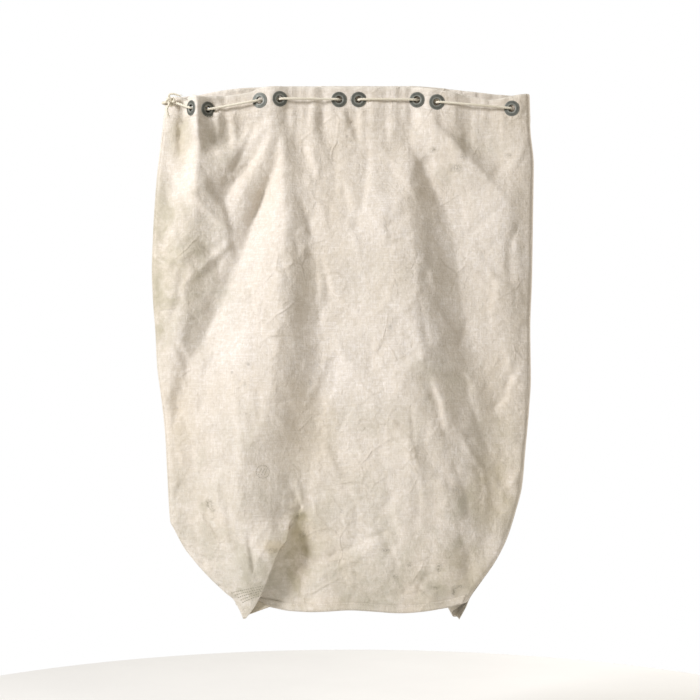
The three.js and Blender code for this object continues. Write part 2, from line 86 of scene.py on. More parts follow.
# Crests and valleys that run down each wall, from the left: (path as (z, x), height as (z, out)).
FOLD_LINES = {
    FRONT: [
        ([(-880, -196), (-700, -316), (-300, -346), (20, -322)], [(-880, 0), (20, 0)]),
        ([(-880, -190), (-700, -304), (-460, -320), (-300, -322), (-200, -304), (-100, -292),
          (20, -276)],
         [(-880, 1), (-600, 5), (-460, 11), (-300, 18), (-180, 17), (-100, 7), (20, 0)]),
        ([(-880, -187), (-700, -290), (-560, -308), (-460, -288), (-387, -250), (-269, -206),
          (-180, -168), (-101, -140), (20, -124)],
         [(-880, 0), (-600, -2), (-480, -9), (-387, -14), (-269, -15), (-150, -9), (-70, -2),
          (20, 0)]),
        ([(-880, -184), (-790, -178), (-700, -190), (-600, -186), (-564, -162), (-510, -146),
          (-400, -127), (-270, -118), (-60, -112), (20, -110)],
         [(-880, 6), (-700, 18), (-500, 18), (-300, 15), (-180, 8), (-60, 0), (20, 0)]),
        ([(-880, -80), (-760, -79), (-650, -79), (-570, -62), (-510, -55), (-350, -57),
          (-200, -66), (20, -60)],
         [(-880, -4), (-760, -16), (-650, -20), (-500, -17), (-300, -11), (-120, -2), (20, 0)]),
        ([(-880, 150), (-764, 168), (-662, 168), (-600, 154), (-509, 122), (-336, 112),
          (-242, 102), (-191, 97), (-33, 88), (20, 86)],
         [(-880, 2), (-700, 9), (-500, 13), (-300, 15), (-180, 11), (-60, 3), (20, 0)]),
        ([(-880, 190), (-790, 224), (-700, 256), (-600, 264), (-509, 242), (-400, 203),
          (-300, 181), (-222, 174), (-181, 160), (-94, 124), (20, 106)],
         [(-880, -1), (-700, -8), (-600, -10), (-500, -12), (-300, -15), (-200, -14), (-60, -3),
          (20, 0)]),
        ([(-880, 194), (-700, 274), (-500, 292), (-300, 288), (-160, 270), (20, 280)],
         [(-880, 0), (-700, -7), (-600, -8), (-500, -5), (-400, 2), (-250, 8), (-100, 5),
          (20, 0)]),
        ([(-880, 197), (-700, 282), (-300, 310), (20, 305)], [(-880, 0), (20, 0)]),
    ],
    BACK: [
        ([(-880, -198), (-700, -318), (-300, -349), (20, -326)], [(-880, 0), (20, 0)]),
        ([(-880, -180), (-600, -250), (-300, -262), (20, -220)],
         [(-880, 0), (-600, 8), (-350, 10), (-120, 3), (20, 0)]),
        ([(-880, -110), (-600, -160), (-300, -170), (20, -130)],
         [(-880, -2), (-600, -7), (-300, -9), (-80, -2), (20, 0)]),
        ([(-880, -20), (-600, -66), (-300, -84), (20, -80)],
         [(-880, 1), (-600, 8), (-300, 9), (-80, 1), (20, 0)]),
        ([(-880, 40), (-600, 26), (-300, 14), (20, 8)],
         [(-880, -3), (-600, -9), (-300, -8), (-80, -1), (20, 0)]),
        ([(-880, 180), (-760, 160), (-600, 132), (-300, 108), (20, 92)],
         [(-880, 4), (-700, 12), (-400, 12), (-200, 8), (-60, 1), (20, 0)]),
        ([(-880, 188), (-700, 216), (-500, 206), (-300, 190), (20, 130)],
         [(-880, 0), (-600, -8), (-300, -10), (-80, -2), (20, 0)]),
        ([(-880, 196), (-700, 284), (-300, 312), (20, 305)], [(-880, 0), (20, 0)]),
    ],
}
# Folds that fan out under the ends of the gripped stretch: the centre (x, z), the side it turns
# to, how far it reaches, and then (degrees from straight down towards that side, out).
FANS = {
    FRONT: [
        ((-116, -4), -1, 300,
         [(-14, 0), (1, 5), (13, -7), (27, 3), (35, -5), (48, 5), (62, -3), (80, 1), (90, 0)]),
        ((108, -4), 1, 300,
         [(-20, 0), (-5, 5), (15, -8), (43, 9), (56, -6), (78, 1), (90, 0)]),
    ],
    BACK: [
        ((-112, 0), -1, 300, [(-14, 0), (4, 6), (22, -8), (42, 6), (58, -5), (80, 0)]),
        ((110, 0), 1, 300, [(-14, 0), (0, 5), (18, -7), (36, 7), (54, -5), (80, 0)]),
    ],
}
# Creases given one by one: (points (x, z)), depth out (negative sinks), half width on the left and
# right.
CREASES = {
    FRONT: [
        ([(-304, -8), (-302, -48), (-304, -90)], -5, 7, 9),
        ([(-269, -19), (-262, -70), (-270, -122)], 5.5, 11, 14),
        ([(-168, -28), (-188, -70), (-223, -134), (-238, -176)], -3.6, 4, 12),
        ([(-126, -28), (-167, -82), (-210, -134), (-226, -166)], -3.8, 4.5, 12),
        ([(-128, -84), (-146, -128), (-162, -168), (-176, -196)], -2.8, 4, 10),
        ([(-262, -42), (-256, -62), (-236, -72)], 2.6, 6, 5),
        ([(-250, -96), (-236, -84), (-222, -88)], 2.2, 5, 6),
        ([(-90, -66), (-74, -102), (-65, -135)], -3.2, 12, 5),
        ([(23, -47), (26, -102), (15, -174), (4, -213)], -3.4, 14, 5),
        ([(192, -227), (217, -209), (261, -171)], -1.8, 7, 5),
        ([(132, -16), (185, -77), (226, -120), (262, -160)], 3.0, 14, 5),
        ([(90, -26), (99, -66), (122, -114), (150, -170)], -4.2, 12, 9),
        ([(96, -34), (111, -51), (124, -64)], 1.5, 4, 4),
        ([(-146, -120), (-160, -160), (-180, -217), (-199, -276)], -5.5, 8, 20),
        ([(-199, -270), (-222, -330), (-250, -392)], -4, 10, 18),
        ([(-304, -130), (-258, -176), (-211, -220)], 4.2, 4, 8),
        ([(-327, -148), (-312, -190), (-296, -234)], -3.6, 5, 13),
        ([(-313, -274), (-290, -260), (-269, -245)], 2.8, 4.5, 5),
        ([(-276, -298), (-250, -272), (-226, -251), (-206, -231)], 4.0, 6, 6),
        ([(-296, -284), (-301, -332), (-322, -388)], -3.8, 4.5, 12),
        ([(-188, -289), (-178, -320), (-168, -350)], -1.9, 4, 7),
        ([(-102, -220), (-98, -240), (-93, -260)], -2.0, 3.5, 5),
        ([(-80, -238), (-86, -252), (-84, -264)], 1.6, 4, 3.5),
        ([(-119, -258), (-118, -282), (-112, -303)], -2.2, 3.5, 6),
        ([(-115, -307), (-119, -322), (-119, -338)], -1.8, 3.5, 5),
        ([(-84, -125), (-58, -146), (-32, -173)], 1.3, 4, 4),
        ([(-262, -238), (-252, -248), (-240, -255)], -3.2, 3.5, 5),
        ([(-248, -50), (-236, -54), (-222, -50)], -1.8, 4, 4),
        ([(-246, -60), (-230, -66), (-212, -60)], -1.6, 4, 4),
        ([(-124, -268), (-119, -290)], -2.2, 4, 3),
        ([(161, -529), (189, -580), (209, -629), (215, -672)], 1.3, 10, 8),
        ([(-100, -640), (-92, -668), (-86, -700)], 2.4, 6, 5),
        ([(-98, -709), (-84, -716), (-74, -730)], -4, 6, 8),
        ([(-112, -700), (-98, -698), (-88, -690)], -4, 5, 5),
        ([(-92, -730), (-90, -770), (-78, -800)], -3, 9, 7),
        ([(-180, -745), (-174, -775), (-170, -802)], -5, 4, 9),
        ([(-258, -792), (-232, -786), (-206, -782)], -1.6, 4, 4),
        ([(-310, -480), (-306, -520), (-312, -560)], -2, 8, 5),
        ([(-280, -580), (-274, -620), (-268, -660)], -2, 9, 6),
        ([(-70, -790), (-20, -770), (60, -730)], -3.0, 6, 4.5),
        ([(-60, -812), (0, -786), (40, -758)], 2.2, 5, 5),
        ([(45, -730), (62, -760), (74, -790)], -2.8, 6, 4.5),
        ([(60, -818), (76, -792), (84, -770)], -1.2, 4, 4),
        ([(150, -860), (170, -850), (196, -846)], -2, 5, 5),
        ([(-140, -830), (-118, -850), (-100, -872)], 2.4, 7, 7),
        ([(-60, -856), (-48, -868), (-40, -874)], 2, 5, 5),
        ([(-150, -512), (-100, -506), (-66, -512)], -1.5, 6, 6),
        ([(-100, -600), (-20, -590), (60, -596)], -1.4, 6, 6),
        ([(60, -470), (110, -440), (150, -400)], 1.6, 9, 9),
        ([(240, -530), (262, -500), (276, -450)], -3.2, 7, 4.5),
        ([(184, -562), (202, -599), (228, -636)], 2.2, 5, 4),
        ([(219, -620), (229, -664), (226, -708)], 2.0, 5, 4),
        ([(236, -636), (250, -656), (262, -678)], 1.8, 4.5, 4),
        ([(274, -656), (282, -640), (290, -626)], 1.6, 4, 4),
        ([(172, -620), (192, -668), (196, -708)], -3.0, 4.5, 12),
        ([(206, -520), (214, -560), (238, -606)], -2.0, 4, 7),
        ([(182, -742), (196, -770), (190, -806)], -2.4, 5, 7),
        ([(160, -834), (178, -831), (198, -828)], 1.5, 3, 3),
        ([(-64, -250), (-54, -300), (-60, -352)], 2.6, 5, 8),
        ([(-96, -150), (-80, -196), (-70, -236)], -2.2, 5, 7),
        ([(-22, -130), (-10, -168), (-14, -206)], -1.8, 5, 6),
        ([(112, -330), (122, -392), (126, -452)], -2.0, 5, 7),
        ([(86, -560), (110, -620), (120, -676)], 2.2, 6, 7),
        ([(-20, -640), (4, -690), (8, -742)], -2.0, 7, 5),
        ([(-236, -420), (-206, -470), (-196, -536)], 1.8, 6, 7),
        ([(-322, -400), (-300, -440), (-292, -486)], 2.2, 5, 6),
        ([(284, -200), (268, -252), (272, -312)], -2.4, 6, 5),
        ([(216, -300), (250, -330), (290, -336)], 1.8, 5, 6),
        ([(-228, -690), (-214, -730), (-216, -772)], 2.0, 6, 6),
        ([(110, -840), (128, -806), (134, -770)], -1.8, 5, 5),
        ([(-10, -850), (-2, -820), (-8, -790)], 1.8, 6, 5),
    ],
    BACK: [
        ([(-250, -60), (-220, -140), (-206, -230)], -4, 10, 7),
        ([(230, -70), (196, -150), (186, -240)], -4, 8, 12),
        ([(-40, -120), (-60, -260), (-52, -360)], -3, 12, 7),
        ([(60, -500), (20, -600), (30, -680)], 3, 9, 9),
        ([(-200, -700), (-150, -760), (-120, -840)], -3, 9, 9),
        ([(112, -700), (100, -716), (90, -740)], -4, 6, 8),
    ],
}
# The knife pleat that makes a corner ear: its free edge as (z, x). Above its top there is no pleat.
PLEAT = {
    FRONT: [(-884, -187), (-872, -177), (-860, -169), (-830, -154), (-797, -141), (-760, -125),
            (-749, -115), (-720, -110), (-709, -98), (-660, -88), (-560, -84), (-300, -84),
            (20, -90)],
    BACK: [(-890, 176), (-870, 165), (-842, 150), (-800, 135), (-776, 124), (-735, 108),
           (-712, 98), (-660, 92), (-560, 88), (-300, 88), (20, 90)],
}
PLEAT_TOP = {FRONT: -706, BACK: -712}
PLEAT_GROWS = 44  # the pleat reaches its full lap this far below its top
PLEAT_LAP = 30
PLEAT_TURN = 1.7  # radius of its two turns
PLEAT_SLACK = 1.6  # how much cloth crosses the pleat's line above its top
EAR_LIFT = 13  # the ear stands out by this much
RECESS = 12  # the cloth behind it sinks by this much
EAR_LOW = {FRONT: -884, BACK: -890}
FAR_LOW = -862  # where the side edge without an ear ends
TOP = 20  # where the side edges are read from for the rim, at share 0 of a wall's height

# Shares of the way across a wall, from its ear's side edge: where each edge's roll ends, where the
# pleat starts and ends, and where the base seam starts and ends.
ROLLED = 0.03
PLEAT_FROM, PLEAT_TO = 0.385, 0.43
BASE_FROM, BASE_TO = 0.434, 0.968

SACK_HEIGHT = 905  # from rim to base
CLOTH_DOWN = 915  # the same along the cloth
CLOTH = 1.1  # thickness of a heavy duck
SEAM_CLOTH = 0.9  # thickness of the strips that show the seams
HOLE_CUT = 10.2  # cloth is cut away to this radius at an eyelet, which its flanges cover
PRESSED = 14.5  # cloth lies flat to this radius round an eyelet
EYELET_REACH = 8  # cloth further than this from an eyelet's seat is another wall's
FLANGE_TOP = 1.2  # the top of an eyelet's front flange over the cloth


# ---- curves and noise
def through(points):
    """A smooth curve through (input, output) points that never overshoots them."""
    px, py = np.array(points, float).T
    span = np.diff(px)
    secant = np.diff(py) / span
    slope = np.zeros(len(px))
    slope[0], slope[-1] = secant[0], secant[-1]
    for i in range(1, len(px) - 1):
        a, b = secant[i - 1], secant[i]
        slope[i] = 0 if a * b <= 0 else 2 * a * b / (a + b)

    def at(x):
        x = np.clip(x, px[0], px[-1])
        i = np.clip(np.searchsorted(px, x, side="right") - 1, 0, len(px) - 2)
        t = (x - px[i]) / span[i]
        rise = py[i + 1] - py[i]
        a = slope[i] * span[i] - rise
        b = rise - slope[i + 1] * span[i]
        return py[i] + rise * t + t * (1 - t) * (a * (1 - t) + b * t)

    return at


def smooth(t):
    t = np.clip(t, 0, 1)
    return t * t * (3 - 2 * t)


def lerp(a, b, t):
    return a + (b - a) * t


def value_noise(x, y, seed):
    """Smooth noise from -1 to 1, the same for one seed."""
    table = np.random.default_rng(seed).random((256, 256)) * 2 - 1
    xi, yi = np.floor(x).astype(int), np.floor(y).astype(int)
    tx, ty = smooth(x - xi), smooth(y - yi)

    def at(i, j):
        return table[(xi + i) & 255, (yi + j) & 255]

    return lerp(lerp(at(0, 0), at(1, 0), tx), lerp(at(0, 1), at(1, 1), tx), ty)


def unit(vector):
    return vector / np.linalg.norm(vector)


def distance_along(points):
    """The distance from the first of some points to each, along the line through them."""
    return np.r_[0, np.cumsum(np.linalg.norm(np.diff(points, axis=0), axis=1))]


def at_distance(distance, along, points):
    """The points at some distances, given how far along each of the known points is."""
    return np.stack([np.interp(distance, along, points[:, k]) for k in range(3)], axis=-1)


def layered_noise(x, z, size, octaves, seed):
    """Noise with features of about size millimetres, and finer ones in it."""
    total, weight = 0, 1.0
    for k in range(octaves):
        f = 2**k / size
        total = total + weight * value_noise(x * f + 17.3 * k, z * f - 9.1 * k, seed + k)
        weight *= 0.5
    return total


def facets(x, z, size, seed):
    """Crumpled cloth: small tilted planes about size millimetres across, softly joined."""
    table = np.random.default_rng(seed).random((64, 64, 4))
    u, v = x / size, z / size
    i0, j0 = np.floor(u).astype(int), np.floor(v).astype(int)
    total, weight = 0, 1e-9
    for i in (i0 - 1, i0, i0 + 1):
        for j in (j0 - 1, j0, j0 + 1):
            cell = table[i & 63, j & 63]
            du, dv = u - i - cell[..., 0], v - j - cell[..., 1]
            near = np.exp(-9 * (du**2 + dv**2))
            plane = (2 * cell[..., 2] - 1) * du + (2 * cell[..., 3] - 1) * dv
            total = total + near * plane
            weight = weight + near
    return total / weight * size


left_edge, right_edge, hem_foot, bottom_at, belly, edge_half = (
    through(points) for points in (LEFT_EDGE, RIGHT_EDGE, HEM_FOOT, BOTTOM, BELLY, EDGE_HALF)
)
rim_top = {side: through(RIM[side]) for side in RIM}
rim_plan = {side: through(RIM_PLAN[side]) for side in RIM_PLAN}
pleat_edge = {side: through(PLEAT[side]) for side in PLEAT}
fold_lines = {
    side: [(through(path), through(height)) for path, height in FOLD_LINES[side]]
    for side in FOLD_LINES
}


def folds_down(side, x, z):
    """How far the long crests and valleys stand out, each flank easing from one to the next."""
    lines = [(path(z), height(z)) for path, height in fold_lines[side]]
    total = np.zeros_like(x)
    for (start, start_out), (end, end_out) in zip(lines, lines[1:]):
        t = np.clip((x - start) / np.maximum(end - start, 1e-3), 0, 1)
        eased = 0.35 * t + 0.65 * smooth(t)
        total = np.where((x >= start) & (x < end), lerp(start_out, end_out, eased), total)
    return total


def fan_folds(side, x, z):
    """How far the fans' folds stand out, with noise in their directions and heights."""
    total = np.zeros_like(x)
    for (cx, cz), way, reach, lines in FANS[side]:
        dx, dz = (x - cx) * way, cz - z
        r = np.hypot(dx, dz)
        angle = np.degrees(np.arctan2(dx, np.maximum(dz, -5)))
        angle = angle + 2.2 * layered_noise(x, z, 110, 2, 21)
        wave = through(lines)(angle) * (0.8 + 0.45 * layered_noise(x, z, 90, 2, 23))
        window = smooth((r - 24) / 80) * (1 - smooth((r - 120) / (reach - 120)))
        total = total + wave * window * (dz > -5)
    return total


def crease(x, z, points, out, left, right):
    """A crease along a run of points, sharper on one side, and fading at its ends."""
    total = np.zeros_like(x)
    count = len(points) - 1
    for i, ((ax, az), (bx, bz)) in enumerate(zip(points, points[1:])):
        length = math.hypot(bx - ax, bz - az)
        ux, uz = (bx - ax) / length, (bz - az) / length
        t = ((x - ax) * ux + (z - az) * uz) / length
        off = (x - ax) * uz - (z - az) * ux
        if uz < 0:
            off = -off
        wide = np.where(off < 0, left, right)
        near = np.clip(t, 0, 1)
        beyond = np.hypot(off, (t - near) * length)
        whole = (i + near) / count
        ends = np.sqrt(np.clip(4 * whole * (1 - whole) + 0.12, 0, 1))
        shape = np.exp(-((beyond / wide) ** 1.5)) * ends * out
        total = np.where(np.abs(shape) > np.abs(total), shape, total)
    return total


def random_creases(side, x, z, count, seed):
    """Small creases of handling, scattered over a wall."""
    rng = np.random.default_rng(seed)
    total = np.zeros_like(x)
    for _ in range(count):
        cx, cz = rng.uniform(-330, 300), rng.uniform(-860, -30)
        angle = rng.normal(1.35, 0.75)
        length = rng.uniform(22, 95)
        bend = rng.normal(0, 0.22) * length
        out = rng.choice([-1, 1]) * rng.uniform(0.6, 1.8)
        left, right = rng.uniform(3, 7.5, 2)
        ux, uz = math.cos(angle), math.sin(angle)
        half = length / 2
        near = np.hypot(x - cx, z - cz) < half + 34
        if not near.any():
            continue
        points = [(cx - ux * half, cz - uz * half), (cx - uz * bend, cz + ux * bend),
                  (cx + ux * half, cz + uz * half)]
        total[near] += crease(x[near], z[near], points, out, left, right)
    return total


def base_y(side, x, z):
    """The y of one wall's face: the rim's shape above, the filled-out tube below.

    The tube opens and its long folds grow below the hem, and the folds die out at the base and at
    the side edges.
    """
    left, right = left_edge(z), right_edge(z)
    across = np.clip(np.abs((2 * x - left - right) / (right - left)), 0, 1)
    roll = edge_half(z)
    depth = roll + (belly(z) - roll) * (1 - across**2.2)
    below = rim_top[side](x) - z
    folds = folds_down(side, x, z) * smooth((below - 40) / 170)
    inside_edges = smooth(5 * (1 - across))
    opening = smooth((below - 46) / 210)
    y = lerp(rim_plan[side](x), side * depth, opening)
    return y + side * folds * smooth((z + 885) / 110) * inside_edges


def detail(side, x, z):
    """Fan folds, creases and crumples, outwards in millimetres."""
    total = fan_folds(side, x, z)
    for points, out, left, right in CREASES[side]:
        total = total + crease(x, z, points, out, left, right)
    below = rim_top[side](x) - z
    free = smooth((below - 8) / 60)
    # crumples of three sizes in warped coordinates, so that their cells don't line up
    warp_x = x + 12 * layered_noise(x, z, 80, 2, 5)
    warp_z = z + 12 * layered_noise(x, z, 80, 2, 9)
    seed = 40 if side == FRONT else 60
    rolling = 1.1 * layered_noise(warp_x, warp_z * 0.7, 110, 3, seed)
    handled = 0.75 + 0.45 * layered_noise(x, z, 120, 2, seed + 3)
    coarse = 0.13 * facets(warp_x + 0.3 * warp_z, 0.62 * warp_z, 48, seed + 11)
    middle = 0.07 * facets(warp_x - 0.2 * warp_z, 0.7 * warp_z, 22, seed + 12)
    crumple = (coarse + middle) * np.clip(handled, 0.3, 1.4)
    small = random_creases(side, x, z, 170, seed + 5)
    # the hem's stitches and the cord gather the cloth in fine upright folds
    stitched = np.exp(-((below - 56) / 38) ** 2) + 0.75 * np.exp(-below / 30)
    gathers = 3.4 * layered_noise(x, z * 0.12, 17, 2, seed + 31) * stitched
    return total + free * (rolling + crumple + small) + gathers


def wall_points(side, s, z_share, inward=0.0, plain=False):
    """Points of one wall's outer face, in mm.

    s runs from the wall's ear side edge, 0, to its other edge, 1. z_share is 0 at the rim and 1 at
    the lower edge. The corner ear is a knife pleat: the cloth turns back behind its own free edge
    and then carries on across. So a runs to the pleat, b through it and c on from it.
    """
    mirror = 1 if side == FRONT else -1
    low = EAR_LOW[side]
    ear_z = lerp(TOP, low, z_share)
    far_z = lerp(TOP, FAR_LOW, z_share)
    q = np.clip((s - PLEAT_FROM) / (PLEAT_TO - PLEAT_FROM), 0, 1)
    line_z = lerp(ear_z, far_z, smooth(q))
    ear_x = (left_edge if side == FRONT else right_edge)(ear_z) * mirror
    far_x = (right_edge if side == FRONT else left_edge)(far_z) * mirror
    free_x = pleat_edge[side](line_z) * mirror
    pleated = smooth((PLEAT_TOP[side] - line_z) / PLEAT_GROWS)
    lap = PLEAT_LAP * pleated
    flat_x = free_x + PLEAT_SLACK * q
    deep_x = lerp(free_x + PLEAT_SLACK, free_x - lap, pleated)

    turn_a = np.clip(s / ROLLED, 0, 1) * math.pi / 2
    turn_c = np.clip((1 - s) / ROLLED, 0, 1) * math.pi / 2
    zone_a = np.clip((s - ROLLED) / (PLEAT_FROM - ROLLED), 0, 1)
    zone_c = np.clip((s - PLEAT_TO) / (1 - ROLLED - PLEAT_TO), 0, 1)

    roll_a = np.minimum(EDGE_ROLL, np.maximum(free_x - ear_x, 1) * 0.3)
    x_a = np.where(s < ROLLED, ear_x + roll_a * (1 - np.cos(turn_a)),
                   lerp(ear_x + roll_a, free_x, zone_a))
    x_c = np.where(s > 1 - ROLLED, far_x - EDGE_ROLL * (1 - np.cos(turn_c)),
                   lerp(deep_x, far_x - EDGE_ROLL, zone_c))
    first = np.clip(q / 0.3, 0, 1) * math.pi
    second = np.clip((q - 0.7) / 0.3, 0, 1) * math.pi
    x_fold = free_x + PLEAT_TURN * np.sin(first) - lap * smooth((q - 0.3) / 0.4)
    x_fold = x_fold - PLEAT_TURN * np.sin(second)
    x_b = lerp(flat_x, x_fold, pleated)
    in_a, in_c = s <= PLEAT_FROM, s >= PLEAT_TO
    in_b = ~in_a & ~in_c
    mirrored_x = np.where(in_a, x_a, np.where(in_c, x_c, x_b))
    x = mirrored_x * mirror

    wall_low = lerp(low, bottom_at(x), smooth(q * 1.2))
    wall_low = np.where(in_a, float(low), wall_low)
    z = lerp(rim_top[side](x), wall_low, z_share)

    at_x = np.where(in_b, flat_x * mirror, x)
    face = base_y(side, at_x, z)
    if not plain:
        face = face + side * detail(side, at_x, z)
    from_free = mirrored_x - free_x
    lift = EAR_LIFT * pleated * np.exp(-((from_free / 70) ** 2)) * np.where(in_c, 0, 1)
    recess = RECESS * pleated * np.exp(-((from_free / 60) ** 2)) * np.where(in_a, 0, 1)
    out = np.where(in_a, lift, -recess)
    out = np.where(in_b, lerp(EAR_LIFT, -RECESS, smooth(q)) * pleated, out)
    face = face + side * out

    other = base_y(-side, x, z)
    middle = (base_y(side, x, z) + other) / 2
    turn = np.minimum(turn_a, turn_c)
    y = middle + (face - middle) * np.sin(turn)
    # the hem is thicker, and the rounded edges bulge by as much
    hem = HEM_PROUD * smooth((z - hem_foot(x) + 6) / 8)
    y = y + side * hem * np.sin(turn)
    x = x - mirror * hem * np.cos(turn_a) * (s < 0.5) + mirror * hem * np.cos(turn_c) * (s > 0.5)
    points = np.stack([x, y, z], axis=-1)
    if np.any(inward):
        step = 1e-3
        across = (wall_points(side, s + step, z_share, plain=True)
                  - wall_points(side, s - step, z_share, plain=True))
        down = (wall_points(side, s, z_share + step, plain=True)
                - wall_points(side, s, z_share - step, plain=True))
        normal = np.cross(down, across)
        normal /= np.linalg.norm(normal, axis=-1, keepdims=True) + 1e-9
        points = points - normal * np.asarray(inward)[..., None]
    return points


# ---- eyelet seats, from the CAD
class Seat:
    """Where one eyelet sits, in mm: its centre on the cloth and its outward normal."""

    def __init__(self, number):
        ring = self.points(f"grommet_{number:02d}")
        back = self.points(f"washer_{number:02d}")
        centre = ring.mean(axis=0)
        normal = np.linalg.svd(ring - centre, full_matrices=False)[2][2]
        if normal @ (centre - back.mean(axis=0)) < 0:
            normal = -normal
        self.normal = normal
        top = ((ring - centre) @ normal).max()
        self.centre = centre + normal * (top - FLANGE_TOP)

    @staticmethod
    def points(node):
        return np.array([v.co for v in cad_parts[node].data.vertices]) / MM

    def height_and_radius(self, points):
        away = points - self.centre
        height = away @ self.normal
        radius = np.linalg.norm(away - height[..., None] * self.normal, axis=-1)
        return height, radius


EYELET_COUNT = sum(name.startswith("grommet_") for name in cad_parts)
SEATS = [Seat(i + 1) for i in range(EYELET_COUNT)]


def press_under_eyelets(points, under):
    """Lays cloth flat under each eyelet's flange, under millimetres below its seat."""
    for seat in SEATS:
        height, radius = seat.height_and_radius(points)
        weight = (1 - smooth((radius - PRESSED) / 7)) * (np.abs(height) < EYELET_REACH + 1)
        points = points - ((height + under) * weight)[..., None] * seat.normal
    return points


# ---- meshes
def new_object(name, vertices, faces, material):
    """A smoothly shaded mesh object. Its vertices are given in mm."""
    mesh = bpy.data.meshes.new(name)
    mesh.from_pydata((np.asarray(vertices) * MM).tolist(), [], faces)
    mesh.validate()
    mesh.shade_smooth()
    mesh.materials.append(material)
    obj = bpy.data.objects.new(name, mesh)
    bpy.context.scene.collection.objects.link(obj)
    return obj


def grid_object(name, points, across, down, material, keep=None):
    """A sheet from a grid of points in mm.

    Its UV map, Cloth, holds the flat cloth's coordinates in metres, from across for each column
    and down for each row, both in mm. Only the quads that keep allows are made.
    """
    rows, columns = points.shape[:2]
    j, i = np.mgrid[0 : rows - 1, 0 : columns - 1]
    a = j * columns + i
    quads = np.stack([a, a + columns, a + columns + 1, a + 1], axis=-1)
    quads = quads.reshape(-1, 4) if keep is None else quads[keep]
    obj = new_object(name, points.reshape(-1, 3), quads.tolist(), material)
    layer = obj.data.uv_layers.new(name="Cloth")
    corner = np.empty(len(obj.data.loops), int)
    obj.data.loops.foreach_get("vertex_index", corner)
    uv = np.stack(np.meshgrid(across, down), axis=-1) * MM
    layer.data.foreach_set("uv", uv.reshape(-1, 2)[corner].ravel())
    return obj


def drop_loose(mesh):
    """Removes vertices that no face uses, as at the eyelet holes."""
    bm = bmesh.new()
    bm.from_mesh(mesh)
    bmesh.ops.delete(bm, geom=[v for v in bm.verts if not v.link_faces], context="VERTS")
    bm.to_mesh(mesh)
    bm.free()


def set_attribute(obj, name, values):
    layer = obj.data.attributes.new(name, "FLOAT", "POINT")
    layer.data.foreach_set("value", np.asarray(values, float).ravel())


def thicken(obj, thickness):
    """Gives a sheet a thickness in mm, behind its outer face."""
    modifier = obj.modifiers.new("Thickness", "SOLIDIFY")
    modifier.thickness = thickness * MM
    modifier.offset = -1
    modifier.use_even_offset = False


# ---- materials
class Nodes:
    """A short way to write a material's node tree."""

    def __init__(self, name):
        self.material = bpy.data.materials.new(name)
        self.material.use_nodes = True
        self.tree = self.material.node_tree
        self.shader = self.tree.nodes["Principled BSDF"]

    def add(self, kind, inputs=None, **settings):
        node = self.tree.nodes.new(kind)
        for key, value in settings.items():
            setattr(node, key, value)
        for key, value in (inputs or {}).items():
            if isinstance(value, bpy.types.NodeSocket):
                self.tree.links.new(value, node.inputs[key])
            else:
                node.inputs[key].default_value = value
        return node

    def set(self, **inputs):
        for key, value in inputs.items():
            socket = self.shader.inputs[key.replace("_", " ")]
            if isinstance(value, bpy.types.NodeSocket):
                self.tree.links.new(value, socket)
            else:
                socket.default_value = value

    def place(self):
        return self.add("ShaderNodeTexCoord").outputs["Object"]

    def noise(self, where, scale, detail=4.0, roughness=0.55, distortion=0.0):
        inputs = {"Vector": where, "Scale": scale, "Detail": detail, "Roughness": roughness,
                  "Distortion": distortion}
        return self.add("ShaderNodeTexNoise", inputs).outputs["Fac"]

    def ramp(self, value, stops):
        node = self.add("ShaderNodeValToRGB", {"Fac": value})
        elements = node.color_ramp.elements
        while len(elements) < len(stops):
            elements.new(0.5)
        for element, (position, color) in zip(elements, stops):
            element.position = position
            element.color = color if hasattr(color, "__len__") else (color, color, color, 1)
        return node.outputs["Color"]

    def math(self, operation, a, b=0.0):
        return self.add("ShaderNodeMath", {0: a, 1: b}, operation=operation).outputs[0]

    def vector(self, operation, inputs, output="Vector"):
        node = self.add("ShaderNodeVectorMath", inputs, operation=operation)
        return node.outputs[output]

    def mix(self, share, a, b):
        """One colour mixed into another. A Mix node's colours are its sockets 6 and 7."""
        return self.add("ShaderNodeMix", {0: share, 6: a, 7: b}, data_type="RGBA").outputs[2]

    def tint(self, base, value, start, end, most, color):
        """A colour mixed in where a value passes from start to end, and at the most by most."""
        return self.mix(self.ramp(value, [(start, 0.0), (end, most)]), base, color)

    def bump(self, height, strength, distance, below=None):
        inputs = {"Height": height, "Strength": strength, "Distance": distance}
        if below is not None:
            inputs["Normal"] = below
        return self.add("ShaderNodeBump", inputs).outputs["Normal"]

    def facets(self, where, scale):
        """Small tilted planes softly joined, as a crumpled sheet has, at scale cells a metre."""
        half = (0.5, 0.5, 0.5)
        warp_inputs = {"Vector": where, "Scale": scale * 0.4, "Detail": 3.0}
        warp = self.add("ShaderNodeTexNoise", warp_inputs).outputs["Color"]
        moved = self.vector("SUBTRACT", {0: warp, 1: half})
        moved = self.vector("SCALE", {0: moved, "Scale": 1.4 / scale})
        moved = self.vector("ADD", {0: where, 1: moved})
        moved = self.vector("SCALE", {0: moved, "Scale": scale})
        cell_inputs = {"Vector": moved, "Scale": 1.0, "Smoothness": 0.55}
        cells = self.add("ShaderNodeTexVoronoi", cell_inputs, feature="SMOOTH_F1").outputs
        tilt = self.vector("SUBTRACT", {0: cells["Color"], 1: half})
        away = self.vector("SUBTRACT", {0: moved, 1: cells["Position"]})
        return self.vector("DOT_PRODUCT", {0: tilt, 1: away}, "Value")

    def stretched(self, where, scale):
        return self.add("ShaderNodeMapping", {"Vector": where, "Scale": scale}).outputs[0]

    def attribute(self, name):
        return self.add("ShaderNodeAttribute", attribute_name=name).outputs["Fac"]


def rgb(r, g, b):
    return (r, g, b, 1.0)


